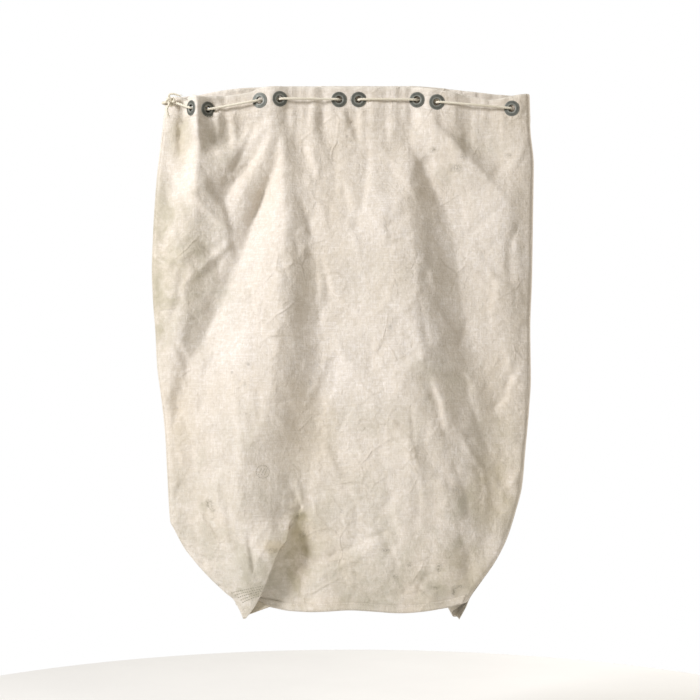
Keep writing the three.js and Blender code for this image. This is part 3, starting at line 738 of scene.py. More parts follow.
def weave_height(m, pitch):
    """A plain weave's height from the cloth's own flat coordinates."""
    uv = m.add("ShaderNodeUVMap", uv_map="Cloth").outputs["UV"]
    xyz = m.add("ShaderNodeSeparateXYZ", {0: uv})
    waves = [
        m.math("SINE", m.math("MULTIPLY", xyz.outputs[axis], 2 * math.pi / pitch))
        for axis in (0, 1)
    ]
    return m.math("MULTIPLY", waves[0], waves[1])


def canvas_material(name, light, tan, dirt_and_shade_strength):
    m = Nodes(name)
    where = m.place()
    mottle = m.noise(where, 5.5, 6, 0.62, 0.4)
    base = m.tint(light, mottle, 0.32, 0.70, 1.0, tan)
    fine = m.noise(where, 150, 5, 0.7)
    base = m.tint(base, fine, 0.38, 0.68, 0.4, rgb(0.58, 0.50, 0.38))
    threads = [m.noise(m.stretched(where, scale), 1.0, 3, 0.6)
               for scale in ((700, 700, 45), (45, 45, 700))]
    slub = m.math("ADD", threads[0], threads[1])
    base = m.tint(base, slub, 0.85, 1.0, 0.3, rgb(0.55, 0.47, 0.35))
    pale = m.noise(where, 60, 5, 0.7, 1.5)
    base = m.tint(base, pale, 0.55, 0.72, 0.4, rgb(0.88, 0.84, 0.77))
    # handling dirt and painted shade: grey and ochre patches where the mesh marks soil and
    # yellowing, and where it marks shade painted on the left flank and in the recess right of the
    # front ear
    patchiness = m.noise(where, 16, 8, 0.7, 0.35)
    soil_and_shade_share = m.math("MULTIPLY", m.attribute("soil"), dirt_and_shade_strength)
    soil_and_shade_share = m.math("MULTIPLY", m.ramp(patchiness, [(0.38, 0.0), (0.62, 1.0)]), soil_and_shade_share)
    # the soil colour, which also paints shade where the mesh marks it
    base = m.mix(soil_and_shade_share, base, rgb(0.41, 0.385, 0.29))
    yellowing_and_shade_share = m.math("MULTIPLY", m.attribute("yellowing_and_shade_share"), m.ramp(patchiness, [(0.3, 0.3), (0.7, 1.0)]))
    # the yellowing colour, which also paints shade where the mesh marks it
    base = m.mix(yellowing_and_shade_share, base, rgb(0.68, 0.55, 0.34))
    # small nicks in some places, a paler rim, and the listed marks
    cells = m.add("ShaderNodeTexVoronoi", {"Vector": where, "Scale": 19.0})
    nick = m.ramp(cells.outputs["Distance"], [(0.03, 0.3), (0.07, 0.0)])
    spread = m.ramp(m.noise(where, 7, 2), [(0.5, 0.0), (0.62, 1.0)])
    base = m.mix(m.math("MULTIPLY", nick, spread), base, rgb(0.16, 0.13, 0.09))
    base = m.mix(m.math("MULTIPLY", m.attribute("worn"), 0.5), base, rgb(0.86, 0.82, 0.74))
    broken = m.ramp(m.noise(where, 330, 3, 0.6), [(0.4, 0.15), (0.6, 1.0)])
    base = m.mix(m.math("MULTIPLY", m.attribute("mark"), broken), base, rgb(0.20, 0.18, 0.13))
    # lines left by old folds: a broken network, faintly darker than the cloth, which is grime and
    # painted shade in the creases
    bend = m.add("ShaderNodeTexNoise", {"Vector": where, "Scale": 9.0}).outputs["Color"]
    lines = m.add("ShaderNodeTexVoronoi", {"Vector": m.mix(0.06, where, bend), "Scale": 17.0},
                  feature="DISTANCE_TO_EDGE").outputs["Distance"]
    shown = m.ramp(m.noise(where, 11, 3, 0.6), [(0.48, 0.0), (0.62, 1.0)])
    fold_line = m.math("MULTIPLY", m.ramp(lines, [(0.0, 1.0), (0.05, 0.0)]), shown)
    # painted crease shade, with grime: the fold lines darken the cloth a little
    base = m.mix(m.math("MULTIPLY", fold_line, 0.16), base, rgb(0.45, 0.38, 0.28))
    m.set(Base_Color=base, Roughness=0.93, Specular_IOR_Level=0.18)
    m.set(Sheen_Weight=0.12, Sheen_Roughness=0.6)
    # (height, strength, distance in metres), from the crumple down to the weave
    normal = None
    for bump in ((m.facets(where, 85), 0.5, 0.0018),
                 (m.noise(where, 130, 5, 0.62, 0.4), 0.5, 0.003),
                 (slub, 0.3, 0.0012),
                 (fold_line, 0.45, 0.0015),
                 (m.noise(where, 420, 3, 0.7), 0.25, 0.0006),
                 (weave_height(m, 0.0011), 0.3, 0.00025)):
        normal = m.bump(*bump, below=normal)
    m.set(Normal=normal)
    return m.material


def thread_material(name, dark, light):
    m = Nodes(name)
    noise = m.noise(m.place(), 300, 3)
    m.set(Base_Color=m.ramp(noise, [(0.3, dark), (0.7, light)]))
    m.set(Roughness=0.85, Specular_IOR_Level=0.2)
    m.set(Normal=m.bump(noise, 0.4, 0.0003))
    return m.material


def cord_material():
    m = Nodes("draw_cord_cotton")
    where = m.place()
    fibres = m.noise(where, 900, 4, 0.7)
    soil = m.noise(where, 28, 4, 0.6)
    color = m.tint(rgb(0.80, 0.75, 0.63), soil, 0.4, 0.7, 0.55, rgb(0.58, 0.51, 0.38))
    color = m.tint(color, fibres, 0.4, 0.7, 0.3, rgb(0.90, 0.87, 0.78))
    m.set(Base_Color=color, Roughness=0.9, Specular_IOR_Level=0.2, Sheen_Weight=0.25)
    m.set(Normal=m.bump(fibres, 0.5, 0.0005))
    return m.material


def zinc_material():
    m = Nodes("oxidised_zinc")
    where = m.place()
    patina = m.noise(where, 130, 6, 0.65, 0.5)
    dull = m.ramp(patina, [(0.3, rgb(0.04, 0.044, 0.036)), (0.55, rgb(0.08, 0.087, 0.074)),
                           (0.8, rgb(0.155, 0.165, 0.145))])
    bare = rgb(0.31, 0.315, 0.29)
    edge = m.math("MULTIPLY", m.attribute("worn"), m.ramp(patina, [(0.25, 0.45), (0.7, 1.0)]))
    m.set(Base_Color=m.mix(edge, dull, bare), Metallic=0.4)
    m.set(Roughness=m.ramp(patina, [(0.3, 0.62), (0.8, 0.38)]))
    m.set(Normal=m.bump(m.noise(where, 600, 3), 0.25, 0.0002))
    return m.material


# Each canvas has a light and a tan colour and a strength for its dirt and painted shade.
CANVAS = canvas_material("cotton_duck", rgb(0.885, 0.835, 0.80), rgb(0.77, 0.70, 0.62), 1.3)
CANVAS_SEAM = canvas_material("cotton_duck_seam", rgb(0.875, 0.825, 0.785),
                              rgb(0.76, 0.69, 0.61), 1.3)
CANVAS_BASE = canvas_material("cotton_duck_base", rgb(0.74, 0.67, 0.56), rgb(0.64, 0.56, 0.44),
                              1.2)
THREAD = thread_material("sewing_thread", rgb(0.76, 0.69, 0.58), rgb(0.90, 0.84, 0.75))
SOILED_THREAD = thread_material("soiled_thread", rgb(0.22, 0.21, 0.15), rgb(0.50, 0.46, 0.36))
CORD = cord_material()
ZINC = zinc_material()


# ---- soil on the cloth, and shade painted on it
# Patches in mm: x, z, half width, half height, strength. Most are soil; some are painted shade, as
# marked.
SOIL_AND_SHADE = {
    FRONT: [(-150, -800, 90, 70, 0.5), (150, -780, 110, 90, 0.45), (60, -850, 150, 34, 0.5),
            (-90, -740, 60, 90, 0.55), (40, -560, 110, 60, 0.22), (190, -690, 70, 110, 0.4),
            (170, -120, 26, 30, 0.35), (150, -470, 60, 60, 0.3), (-262, -620, 18, 50, 0.35),
            (-258, -690, 10, 12, 0.6), (-176, -835, 30, 14, 0.6), (262, -560, 40, 90, 0.25),
            (-290, -640, 40, 90, 0.2), (20, -300, 160, 60, 0.08), (0, -660, 200, 80, 0.2),
            # painted shade: on the next line, (-285, -270) darkens the shaded left flank, and (-94,
            # -716) and (-96, -780) darken the shaded recess right of the front ear's free edge
            (-285, -270, 70, 150, 0.45), (-94, -716, 24, 28, 1.0), (-96, -780, 30, 80, 1.0),
            (-300, -60, 26, 60, 0.5), (-240, -70, 60, 40, 0.35), (-190, -842, 44, 14, 0.75),
            (120, -820, 70, 40, 0.6), (20, -640, 60, 70, 0.35), (-190, -560, 60, 50, 0.2),
            # painted shade: (-250, -330) on the next line and (-330, -290) on the line after darken
            # the shaded left flank
            (215, -60, 60, 30, 0.25), (-250, -330, 70, 70, 0.3),
            (240, -640, 60, 120, 0.45), (180, -752, 14, 20, 0.7), (-330, -290, 38, 190, 0.7)],
    BACK: [(0, -820, 220, 70, 0.55), (-150, -600, 120, 120, 0.3), (120, -430, 120, 90, 0.25),
           (0, -200, 220, 90, 0.15)],
}
# Yellowing patches in mm, laid out as above. Most are yellowing; some are painted shade, as marked.
YELLOWING_AND_SHADE = {
    FRONT: [(-136, -758, 24, 14, 0.55), (-100, -770, 50, 60, 0.25), (-300, -520, 26, 80, 0.18),
            (244, -650, 46, 90, 0.32), (-80, -560, 50, 90, 0.16), (-60, -860, 60, 16, 0.2),
            # painted shade: (-94, -764) sits in the shaded recess right of the front ear's free
            # edge; (-300, -250) here and (-330, -300) on the next line sit on the shaded left flank
            (-94, -764, 26, 86, 0.5), (-300, -250, 50, 130, 0.12), (250, -520, 40, 90, 0.2),
            (200, -800, 60, 50, 0.2), (-300, -60, 20, 50, 0.2), (-330, -300, 36, 200, 0.14)],
    BACK: [(-60, -780, 120, 60, 0.3), (140, -650, 80, 90, 0.2)],
}
# Small scuffs, scratches and nicks in mm: x, z, half width, half height, strength.
MARKS = {
    FRONT: [(-248, -686, 7, 9, 0.55), (-240, -697, 5, 4, 0.5), (-137, -764, 12, 5, 0.35),
            (173, -839, 4, 7, 0.7), (140, -831, 8, 3, 0.6), (56, -766, 8, 3, 0.6),
            (147, -796, 5, 9, 0.5), (182, -830, 13, 2.5, 0.55), (120, -838, 6, 4, 0.35),
            (138, -76, 7, 4, 0.5), (179, -108, 9, 7, 0.45), (189, -89, 6, 4, 0.45),
            (268, -86, 6, 4, 0.4), (-185, -480, 3, 6, 0.35), (-74, -478, 3, 6, 0.35),
            (62, -382, 4, 4, 0.4), (-96, -704, 9, 7, 0.4), (-88, -742, 6, 8, 0.35),
            (-206, -846, 10, 4, 0.3), (70, -812, 6, 3, 0.5), (96, -790, 5, 5, 0.35),
            (-20, -700, 5, 4, 0.25), (30, -620, 5, 3, 0.25), (-6, -60, 4, 3, 0.3),
            (-268, -806, 6, 4, 0.4), (-236, -826, 8, 3, 0.35), (176, -660, 5, 6, 0.3)],
    BACK: [(60, -780, 9, 5, 0.5), (-120, -560, 7, 7, 0.4), (150, -300, 5, 5, 0.4)],
}


def patches(table, x, z):
    """How strongly a table's patches cover each place. They fade at their edges."""
    total = np.zeros_like(x)
    for cx, cz, rx, rz, strength in table:
        r = np.hypot((x - cx) / rx, (z - cz) / rz)
        total = np.maximum(total, strength * (1 - smooth((r - 0.3) / 1.1)))
    return total


def weather_and_shade(obj, side):
    """Soil, yellowing, edge wear and painted shade on a cloth piece, from where its points lie."""
    points = np.empty(len(obj.data.vertices) * 3)
    obj.data.vertices.foreach_get("co", points)
    x, _, z = points.reshape(-1, 3).T / MM
    lower = 0.38 * smooth((-500 - z) / 300)  # an even soil that grows towards the base
    # these two attributes also carry painted shade: on the shaded left flank and in the recess
    # right of the front ear
    set_attribute(obj, "soil", np.maximum(patches(SOIL_AND_SHADE[side], x, z), lower))
    set_attribute(obj, "yellowing_and_shade_share", patches(YELLOWING_AND_SHADE[side], x, z))
    set_attribute(obj, "mark", np.clip(1.35 * patches(MARKS[side], x, z), 0, 1))
    from_rim = np.exp(-np.maximum(rim_top[side](x) - z, 0) / 3)
    set_attribute(obj, "worn", np.clip(from_rim, 0, 1))


def cloth(name, points, across, down, material, side, thickness=CLOTH, keep=None):
    """A sheet of cloth from a grid of points, made as grid_object says, with its soil and painted
    shade.
    """
    obj = grid_object(name, points, across, down, material, keep)
    if keep is not None:
        drop_loose(obj.data)
    weather_and_shade(obj, side)
    thicken(obj, thickness)
    return obj


# ---- the cloth walls
WALL_ROWS = 236
HEM_ROWS = 16
HEM_TURN = 2.6  # from the hem's outer face to its inner one
HEM_LIP = [(0.93, 0.5), (0.5, 1.2), (0.07, 0.5)]  # the turned edge: (share of HEM_TURN, rise)
HEM_INSIDE = 50  # how far down the inner face reaches, for the weave
FLANGE_GAP = 0.15  # the cloth lies this far under an eyelet's flange
MEASURED_ROW = 90  # the row whose length sets the weave's scale across the wall


def wall_columns():
    """Columns across a wall: close together on the rolled edges and in the pleat."""
    roll = np.linspace(0, ROLLED, 7)
    first = np.linspace(ROLLED, PLEAT_FROM, 66)
    pleat = np.linspace(PLEAT_FROM, PLEAT_TO, 17)
    second = np.linspace(PLEAT_TO, 1 - ROLLED, 100)
    return np.concatenate([roll[:-1], first[:-1], pleat[:-1], second[:-1], 1 - roll[::-1]])


def wall_rows():
    """Rows down a wall, closer at the hem."""
    hem = np.linspace(0, 0.06, HEM_ROWS + 4)
    rest = np.linspace(0.06, 1, WALL_ROWS)
    return np.concatenate([hem[:-1], rest])


def make_wall(side):
    """One wall: the hem's inner face from its foot up, its turned edge, and the outer face."""
    s, shares = wall_columns(), wall_rows()
    outer = press_under_eyelets(wall_points(side, *np.meshgrid(s, shares)), FLANGE_GAP)
    hem_share = (rim_top[side](0.0) - hem_foot(0.0)) / CLOTH_DOWN
    inside = np.meshgrid(s, np.linspace(hem_share, 0.002, HEM_ROWS))
    inner = press_under_eyelets(wall_points(side, *inside, inward=HEM_TURN), HEM_TURN)
    lip = [wall_points(side, s, np.zeros_like(s), inward=HEM_TURN * depth) + (0, 0, rise)
           for depth, rise in HEM_LIP]
    points = np.concatenate([inner, lip, outer])

    centres = (points[:-1, :-1] + points[1:, :-1] + points[:-1, 1:] + points[1:, 1:]) / 4
    keep = np.ones(centres.shape[:2], bool)
    for seat in SEATS:
        height, radius = seat.height_and_radius(centres)
        keep &= ~((radius < HOLE_CUT) & (np.abs(height) < EYELET_REACH))
    down = np.r_[-np.linspace(HEM_INSIDE, 3, HEM_ROWS), -2, -1, -0.5, shares * CLOTH_DOWN]
    return cloth(f"canvas_{SIDE_NAME[side]}", points, distance_along(outer[MEASURED_ROW]), down,
                 CANVAS, side, keep=keep)


# ---- seam strips and stitches
SEAM_TOP, SEAM_LOW = 17, -858  # where a side edge starts, and where it ends away from an ear
BORDER_SINK = 0.6  # a seam strip's borders run into the wall by this much


def strip(name, points, side):
    """A strip of cloth that shows a seam, from rows of points that run along it."""
    across, along = distance_along(points[0]), distance_along(points[:, 0])
    return cloth(name, points, across, along, CANVAS_SEAM, side, SEAM_CLOTH)


def edge_points(left, z, reach, proud, steps):
    """Rows of points wrapped round one side edge, in the order that faces them outwards.

    They reach over a share of each wall's rolled edge and stand proud of it.
    """
    share_round = np.linspace(reach, 0, steps) * ROLLED
    halves = []
    for side in (FRONT, BACK):
        ear_here = (side == FRONT) == left
        low = EAR_LOW[side] if ear_here else SEAM_LOW
        s = share_round if ear_here else 1 - share_round
        order = s if side == FRONT else s[::-1]
        grid_s, share = np.meshgrid(order, (SEAM_TOP - z) / (SEAM_TOP - low))
        border = np.isclose(np.where(grid_s < 0.5, grid_s, 1 - grid_s), reach * ROLLED)
        inward = np.where(border, BORDER_SINK, -proud)
        halves.append(wall_points(side, grid_s, np.clip(share, 0, 1), inward=inward))
    wrapped = np.concatenate([halves[0], halves[1][:, 1:]], axis=1)
    return wrapped[:, ::-1] if left else wrapped


class Stitches:
    """Short thread stitches along runs on the cloth, gathered into one object."""

    SHAPE = np.array([(-1, 0, 0), (-0.55, 0.5, 0.1), (-0.55, -0.5, 0.1), (-0.55, 0, 0.75),
                      (0.55, 0.5, 0.1), (0.55, -0.5, 0.1), (0.55, 0, 0.75), (1, 0, 0)])
    FACES = [(0, 2, 3), (0, 3, 1), (2, 5, 6, 3), (3, 6, 4, 1), (5, 7, 6), (6, 7, 4), (0, 1, 2),
             (7, 5, 4), (1, 4, 5, 2)]

    def __init__(self):
        self.vertices, self.faces = [], []

    def run(self, points, normals, pitch=4.4, length=3.1, width=0.62, rise=0.12):
        along = distance_along(points)
        for at in np.arange(pitch / 2, along[-1], pitch):
            here = at_distance(at, along, points)
            up = unit(at_distance(at, along, normals))
            forward = at_distance(at + 1, along, points) - here
            if np.linalg.norm(forward) < 1e-6:
                continue
            forward = unit(forward - up * (forward @ up))
            sideways = np.cross(up, forward)
            start = len(self.vertices)
            for a, b, c in self.SHAPE:
                self.vertices.append(here + forward * a * length / 2 + sideways * b * width
                                     + up * (c * width + rise))
            self.faces += [tuple(start + k for k in face) for face in self.FACES]

    def finish(self, name, thread=THREAD):
        return new_object(name, self.vertices, self.faces, thread)


def on_wall(side, s, z):
    """Points and normals of a wall at shares s and heights z, found in a few steps."""
    share = np.zeros_like(s)
    for _ in range(4):
        here = wall_points(side, s, share, plain=True)
        share = np.clip(share + (here[:, 2] - z) / SACK_HEIGHT, 0, 1)
    points = wall_points(side, s, share)
    lifted = wall_points(side, s, share, inward=-1.0)
    return points, lifted - points


def hem_stitches():
    """Two rows a little above the hem's foot, on both walls."""
    stitches = Stitches()
    for side in (FRONT, BACK):
        for up in (3.0, 8.0):
            s = np.linspace(0.004, 0.996, 500)
            rough = wall_points(side, s, np.full_like(s, 0.045), plain=True)
            points, normals = on_wall(side, s, hem_foot(rough[:, 0]) + up)
            stitches.run(points, normals)
    return stitches.finish("hem_stitching")


def base_seam_points(side, proud):
    grid = np.meshgrid(np.linspace(BASE_FROM, BASE_TO, 130), np.linspace(0.984, 0.9995, 6))
    return wall_points(side, *grid, inward=-proud)


def base_stitches(side):
    stitches = Stitches()
    rows = base_seam_points(side, 0.9)
    above = base_seam_points(side, 1.9) - rows
    for row in (1, 4):
        stitches.run(rows[row], above[row])
    return stitches.finish(f"base_stitching_{SIDE_NAME[side]}")


def ear_stitches(side):
    """Rows of stitches across a corner ear, a little above its tip."""
    stitches = Stitches()
    for row in range(5):
        s = np.linspace(0.05 + 0.012 * row, 0.375, 60)
        tilt = 16 * (s - 0.2) / 0.35
        points, normals = on_wall(side, s, -834 - 4.5 * row + tilt)
        stitches.run(points, normals, pitch=4.2, length=3.0, width=1.0)
    return stitches.finish(f"ear_stitching_{SIDE_NAME[side]}", SOILED_THREAD)


def seam_stitches(left):
    stitches = Stitches()
    z = np.linspace(-38, -846, 420)
    grid = edge_points(left, z, 0.7, 0.3, 6)
    out = edge_points(left, z, 0.7, 1.3, 6) - grid
    for column in (1, grid.shape[1] - 2):
        stitches.run(grid[:, column], out[:, column])
    return stitches.finish(f"seam_stitching_{'left' if left else 'right'}")


def on_ear_side(x, z):
    """Points and normals of the front wall at places between its left edge and its pleat."""
    start = left_edge(z) + EDGE_ROLL
    share = (x - start) / (pleat_edge[FRONT](z) - start)
    return on_wall(FRONT, lerp(ROLLED, PLEAT_FROM, share), z)


def darn():
    """A small round mend: a ring of stitches with a few across it."""
    stitches = Stitches()
    centre_x, centre_z, radius = -155, -630, 11
    ring = np.linspace(0, 2 * math.pi, 40)
    x, z = centre_x + radius * np.cos(ring), centre_z + radius * np.sin(ring)
    stitches.run(*on_ear_side(x, z), pitch=3.0, length=2.6, width=0.55)
    for aside in (-5, 0, 5):
        x = centre_x + aside + np.linspace(-3, 3, 8)
        z = centre_z + np.linspace(-6, 6, 8)
        stitches.run(*on_ear_side(x, z), pitch=3.4, length=3.0, width=0.5)
    return stitches.finish("darned_mend", SOILED_THREAD)


# ---- the folded base
BASE_RISE = 140
BASE_DOWN = 340  # its cloth from the front seam to the back one
BASE_CLOSE = 0.86  # its halves come together by this much of the distance between them


def make_base():
    """The base cloth: up from the front wall's lower edge, over, and down to the back wall's."""
    s = np.linspace(BASE_FROM, BASE_TO, 110)
    lines = []
    for side in (FRONT, BACK):
        edge = wall_points(side, s, np.full_like(s, 0.9985), inward=2.0)
        lines.append(edge[np.argsort(edge[:, 0])])
    x = np.linspace(max(line[0, 0] for line in lines) + 1,
                    min(line[-1, 0] for line in lines) - 1, 84)
    front, back = (np.stack([np.interp(x, line[:, 0], line[:, k]) for k in (1, 2)])
                   for line in lines)
    rows = np.linspace(0, 1, 61)
    points = []
    for q in rows:
        over = math.sin(math.pi * q) ** 0.35 if 0 < q < 1 else 0.0
        climb = 1 - abs(2 * q - 1)
        y_share = q if climb > 0.93 else 0.5 + (q - 0.5) * (1 - BASE_CLOSE * smooth(climb))
        y = lerp(front[0], back[0], y_share)
        foot = lerp(front[1], back[1], q)
        lower_ends = 1 - 0.25 * np.abs(2 * (x - x[0]) / (x[-1] - x[0]) - 1) ** 3
        wrinkle = 1.6 * layered_noise(x, np.full_like(x, 200 * q), 45, 3, 77)
        z = foot + BASE_RISE * climb * lower_ends + wrinkle * over
        points.append(np.stack([x, y + wrinkle * 0.6 * over, z], axis=-1))
    return cloth("base_cloth", np.array(points), x, rows * BASE_DOWN, CANVAS_BASE, BACK)


def make_underfold():
    """The hidden layer of the left corner, which shows as a small flap behind the ear's tip."""
    tip, right, left = np.array([(-188, -880), (-143, -864), (-176, -848)], float)
    count = 12
    points = np.empty((count, count, 3))
    for j, down in enumerate(np.linspace(0, 0.98, count)):
        for i, along in enumerate(np.linspace(0, 1, count)):
            x, z = lerp(lerp(left, right, along), tip, down)
            points[j, i] = x, -24.0 - 4 * down + 1.2 * math.sin(5 * along), z
    flat = np.linspace(0, 35, count)
    return cloth("left_ear_underfold", points, flat, flat, CANVAS_BASE, FRONT)


# ---- eyelets
EYELET_SIDES = 48


def turned(name, outline, worn, seat):
    """A metal ring: a closed outline of (radius, height) turned round a seat's normal."""
    outline = np.array(outline)
    count = len(outline)
    turn = np.array(Vector((0, 0, 1)).rotation_difference(Vector(seat.normal)).to_matrix())
    angle = np.linspace(0, 2 * math.pi, EYELET_SIDES, endpoint=False)
    circle = np.stack([np.cos(angle), np.sin(angle), np.zeros_like(angle)], axis=-1)
    local = circle[:, None] * outline[None, :, :1] + np.array([0, 0, 1.0]) * outline[None, :, 1:]
    points = local.reshape(-1, 3) @ turn.T + seat.centre
    faces = []
    for i in range(EYELET_SIDES):
        for k in range(count):
            a, b = i * count, (i + 1) % EYELET_SIDES * count
            faces.append((a + k, b + k, b + (k + 1) % count, a + (k + 1) % count))
    obj = new_object(name, points, faces, ZINC)
    set_attribute(obj, "worn", np.tile(np.array(worn, float), EYELET_SIDES))
    return obj


# Outlines as (radius, height over the cloth), and how worn each of their points is.
GROMMET = [(6.0, -4.2), (6.0, -1.0), (6.02, 0.35), (6.25, 0.85), (6.75, 1.15), (7.5, 1.25),
           (8.6, 1.18), (10.2, 0.95), (11.8, 0.85), (12.7, 0.85), (13.25, 0.65), (13.5, 0.35),
           (13.3, 0.08), (12.6, 0.0), (7.2, 0.0), (6.75, -0.4), (6.75, -4.2)]
GROMMET_WORN = [0.1, 0.2, 0.5, 0.8, 1, 0.9, 0.4, 0.12, 0.25, 0.6, 0.9, 0.7, 0.2, 0, 0, 0, 0]
WASHER = [(7.1, -2.75), (12.9, -2.75), (13.4, -2.95), (13.4, -3.25), (12.8, -3.5), (10.4, -3.6),
          (8.6, -3.9), (7.4, -4.35), (6.7, -4.5), (6.2, -4.3), (6.9, -3.6)]
WASHER_WORN = [0, 0, 0.5, 0.8, 0.5, 0.1, 0.2, 0.7, 0.9, 0.5, 0]


# ---- the draw cord
CORD_R = 2.25
BARREL_LOW = -4.2
CORD_OVER = FLANGE_TOP + CORD_R + 0.6
CORD_UNDER = BARREL_LOW - CORD_R - 0.5
# The cord's way through an eyelet: (distance aside, where below 0 is on the inside's way, height).
PASSAGE = [(4.5, CORD_OVER), (1.0, 1.4), (-1.0, -4.0), (-4.5, CORD_UNDER)]
KNOT = np.array([-316.0, -9.0, 8.0])
CORD_START = np.array([-308.6, -10.5, 6.5])
ROUND_CORNER = np.array([(-305, 27.5, 6), (-322, 24, 7.5), (-331.5, 14, 8), (-331, 2, 8),
                         (-324.3, -4.6, 8)], float)


def passage(seat, outside_target, inside_target):
    """Points through an eyelet, from the side of one target to the side of the other."""
    def towards(target):
        way = target - seat.centre
        return unit(way - seat.normal * (way @ seat.normal))

    out, inside = towards(outside_target), towards(inside_target)
    return [seat.centre + seat.normal * height + (out if aside > 0 else inside) * abs(aside)
            for aside, height in PASSAGE]


def cord_route():
    """In and out through the eyelets in turn, and round the corner back to the knot."""
    points = [CORD_START]
    last = len(SEATS) - 1
    for i, seat in enumerate(SEATS):
        entering = i % 2 == 0
        if entering:
            outside = KNOT if i == 0 else SEATS[i - 1].centre
            inside = SEATS[i + 1].centre
        else:
            outside = ROUND_CORNER[0] if i == last else SEATS[i + 1].centre
            inside = SEATS[i - 1].centre
        way = passage(seat, outside, inside)
        points += way if entering else way[::-1]
    return np.array(points + list(ROUND_CORNER))


def through_space(points, spacing):
    """Evenly spaced points on a centripetal Catmull-Rom curve, and how far along each one is."""
    p = np.vstack([2 * points[0] - points[1], points, 2 * points[-1] - points[-2]])
    out = []
    for i in range(1, len(p) - 2):
        p0, p1, p2, p3 = p[i - 1 : i + 3]
        k = [max(np.linalg.norm(b - a) ** 0.5, 1e-4) for a, b in ((p0, p1), (p1, p2), (p2, p3))]
        m1 = (p1 - p0) / k[0] - (p2 - p0) / (k[0] + k[1]) + (p2 - p1) / k[1]
        m2 = (p2 - p1) / k[1] - (p3 - p1) / (k[1] + k[2]) + (p3 - p2) / k[2]
        m1, m2 = m1 * k[1], m2 * k[1]
        for t in np.linspace(0, 1, 24, endpoint=False):
            out.append((2 * t**3 - 3 * t**2 + 1) * p1 + (t**3 - 2 * t**2 + t) * m1
                       + (3 * t**2 - 2 * t**3) * p2 + (t**3 - t**2) * m2)
    out = np.array(out + [p[-2]])
    along = distance_along(out)
    at = np.linspace(0, along[-1], max(3, int(along[-1] / spacing)))
    return at_distance(at, along, out), at


def frames_along(path):
    """Two directions across a path that turn as little as they can."""
    tangent = np.gradient(path, axis=0)
    tangent /= np.linalg.norm(tangent, axis=1, keepdims=True)
    steep = abs(tangent[0][2]) >= 0.9
    across = [unit(np.cross(tangent[0], (1.0, 0, 0) if steep else (0, 0, 1.0)))]
    for t in tangent[1:]:
        across.append(unit(across[-1] - t * (across[-1] @ t)))
    across = np.array(across)
    return across, np.cross(tangent, across)


def swept(path, radius, sides, vertices, faces):
    """Adds a tube with closed ends along a path to the lists."""
    across, up = frames_along(path)
    radius = np.broadcast_to(radius, len(path))
    start = len(vertices)
    angle = np.linspace(0, 2 * math.pi, sides, endpoint=False)
    for i, centre in enumerate(path):
        for a in angle:
            vertices.append(centre + radius[i] * (across[i] * math.cos(a) + up[i] * math.sin(a)))
    for i in range(len(path) - 1):
        for k in range(sides):
            a, b = start + i * sides, start + (i + 1) * sides
            faces.append((a + k, a + (k + 1) % sides, b + (k + 1) % sides, b + k))
    faces.append(tuple(start + k for k in reversed(range(sides))))
    end = start + (len(path) - 1) * sides
    faces.append(tuple(end + k for k in range(sides)))


STRANDS = 3


def laid_cord(name, points, radius=CORD_R, pitch=15.0, spacing=1.3):
    """A laid cord along a route: strands that wind round it, one turn in each pitch."""
    path, at = through_space(np.asarray(points, float), spacing)
    across, up = frames_along(path)
    vertices, faces = [], []
    strand_r = radius * 0.53
    for k in range(STRANDS):
        angle = (2 * math.pi * (at / pitch + k / STRANDS))[:, None]
        strand = path + (radius - strand_r) * (across * np.cos(angle) + up * np.sin(angle))
        swept(strand, strand_r, 7, vertices, faces)
    return new_object(name, vertices, faces, CORD)


def make_knot():
    """An overhand knot in the cord's joined ends."""
    t = np.linspace(0.35, 2 * math.pi + 0.05, 26)
    scale = 2.5
    loop = np.stack([scale * (np.sin(t) + 2 * np.sin(2 * t)) * 0.9,
                     -scale * 1.25 * np.sin(3 * t) - 1.5,
                     scale * (np.cos(t) - 2 * np.cos(2 * t))], axis=-1) + KNOT
    return laid_cord("draw_knot", loop, spacing=1.1, pitch=14)


# The knot's tails: where each leaves the knot, above or below its middle, and its route from there.
TAILS = {
    "cord_tail_upper": (4, [(-319, -14, 16), (-318, -15.5, 19.5), (-311, -16, 20.5),
                            (-303, -15, 18)]),
    "cord_tail_lower": (-4, [(-320, -14, 0), (-322, -16, -7), (-321, -15, -14)]),
}


def make_tail(name, rng):
    """A tail of the knot, and the fibres that its end frays into."""
    above, route = TAILS[name]
    points = np.vstack([KNOT + (0, -2, above), route])
    tail = laid_cord(name, points, radius=1.9, spacing=1.1, pitch=13)
    way = unit(points[-1] - points[-2])
    vertices, faces = [], []
    for _ in range(16):
        lean = way + rng.normal(0, 0.35, 3)
        reach = rng.uniform(3.5, 7.5)
        droop = np.array([0, 0, -rng.uniform(0.3, 2.2)])
        root = points[-1] + rng.normal(0, 0.7, 3)
        fibre = np.array([root - way, root + lean * reach * 0.5, root + lean * reach + droop])
        swept(fibre, np.array([0.32, 0.26, 0.1]), 5, vertices, faces)
    return tail, new_object(f"{name}_fray", vertices, faces, CORD)


# ---- build
def place(piece, slot_name, *nodes):
    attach(piece, "root")
    if nodes:
        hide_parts(*nodes)
    return piece


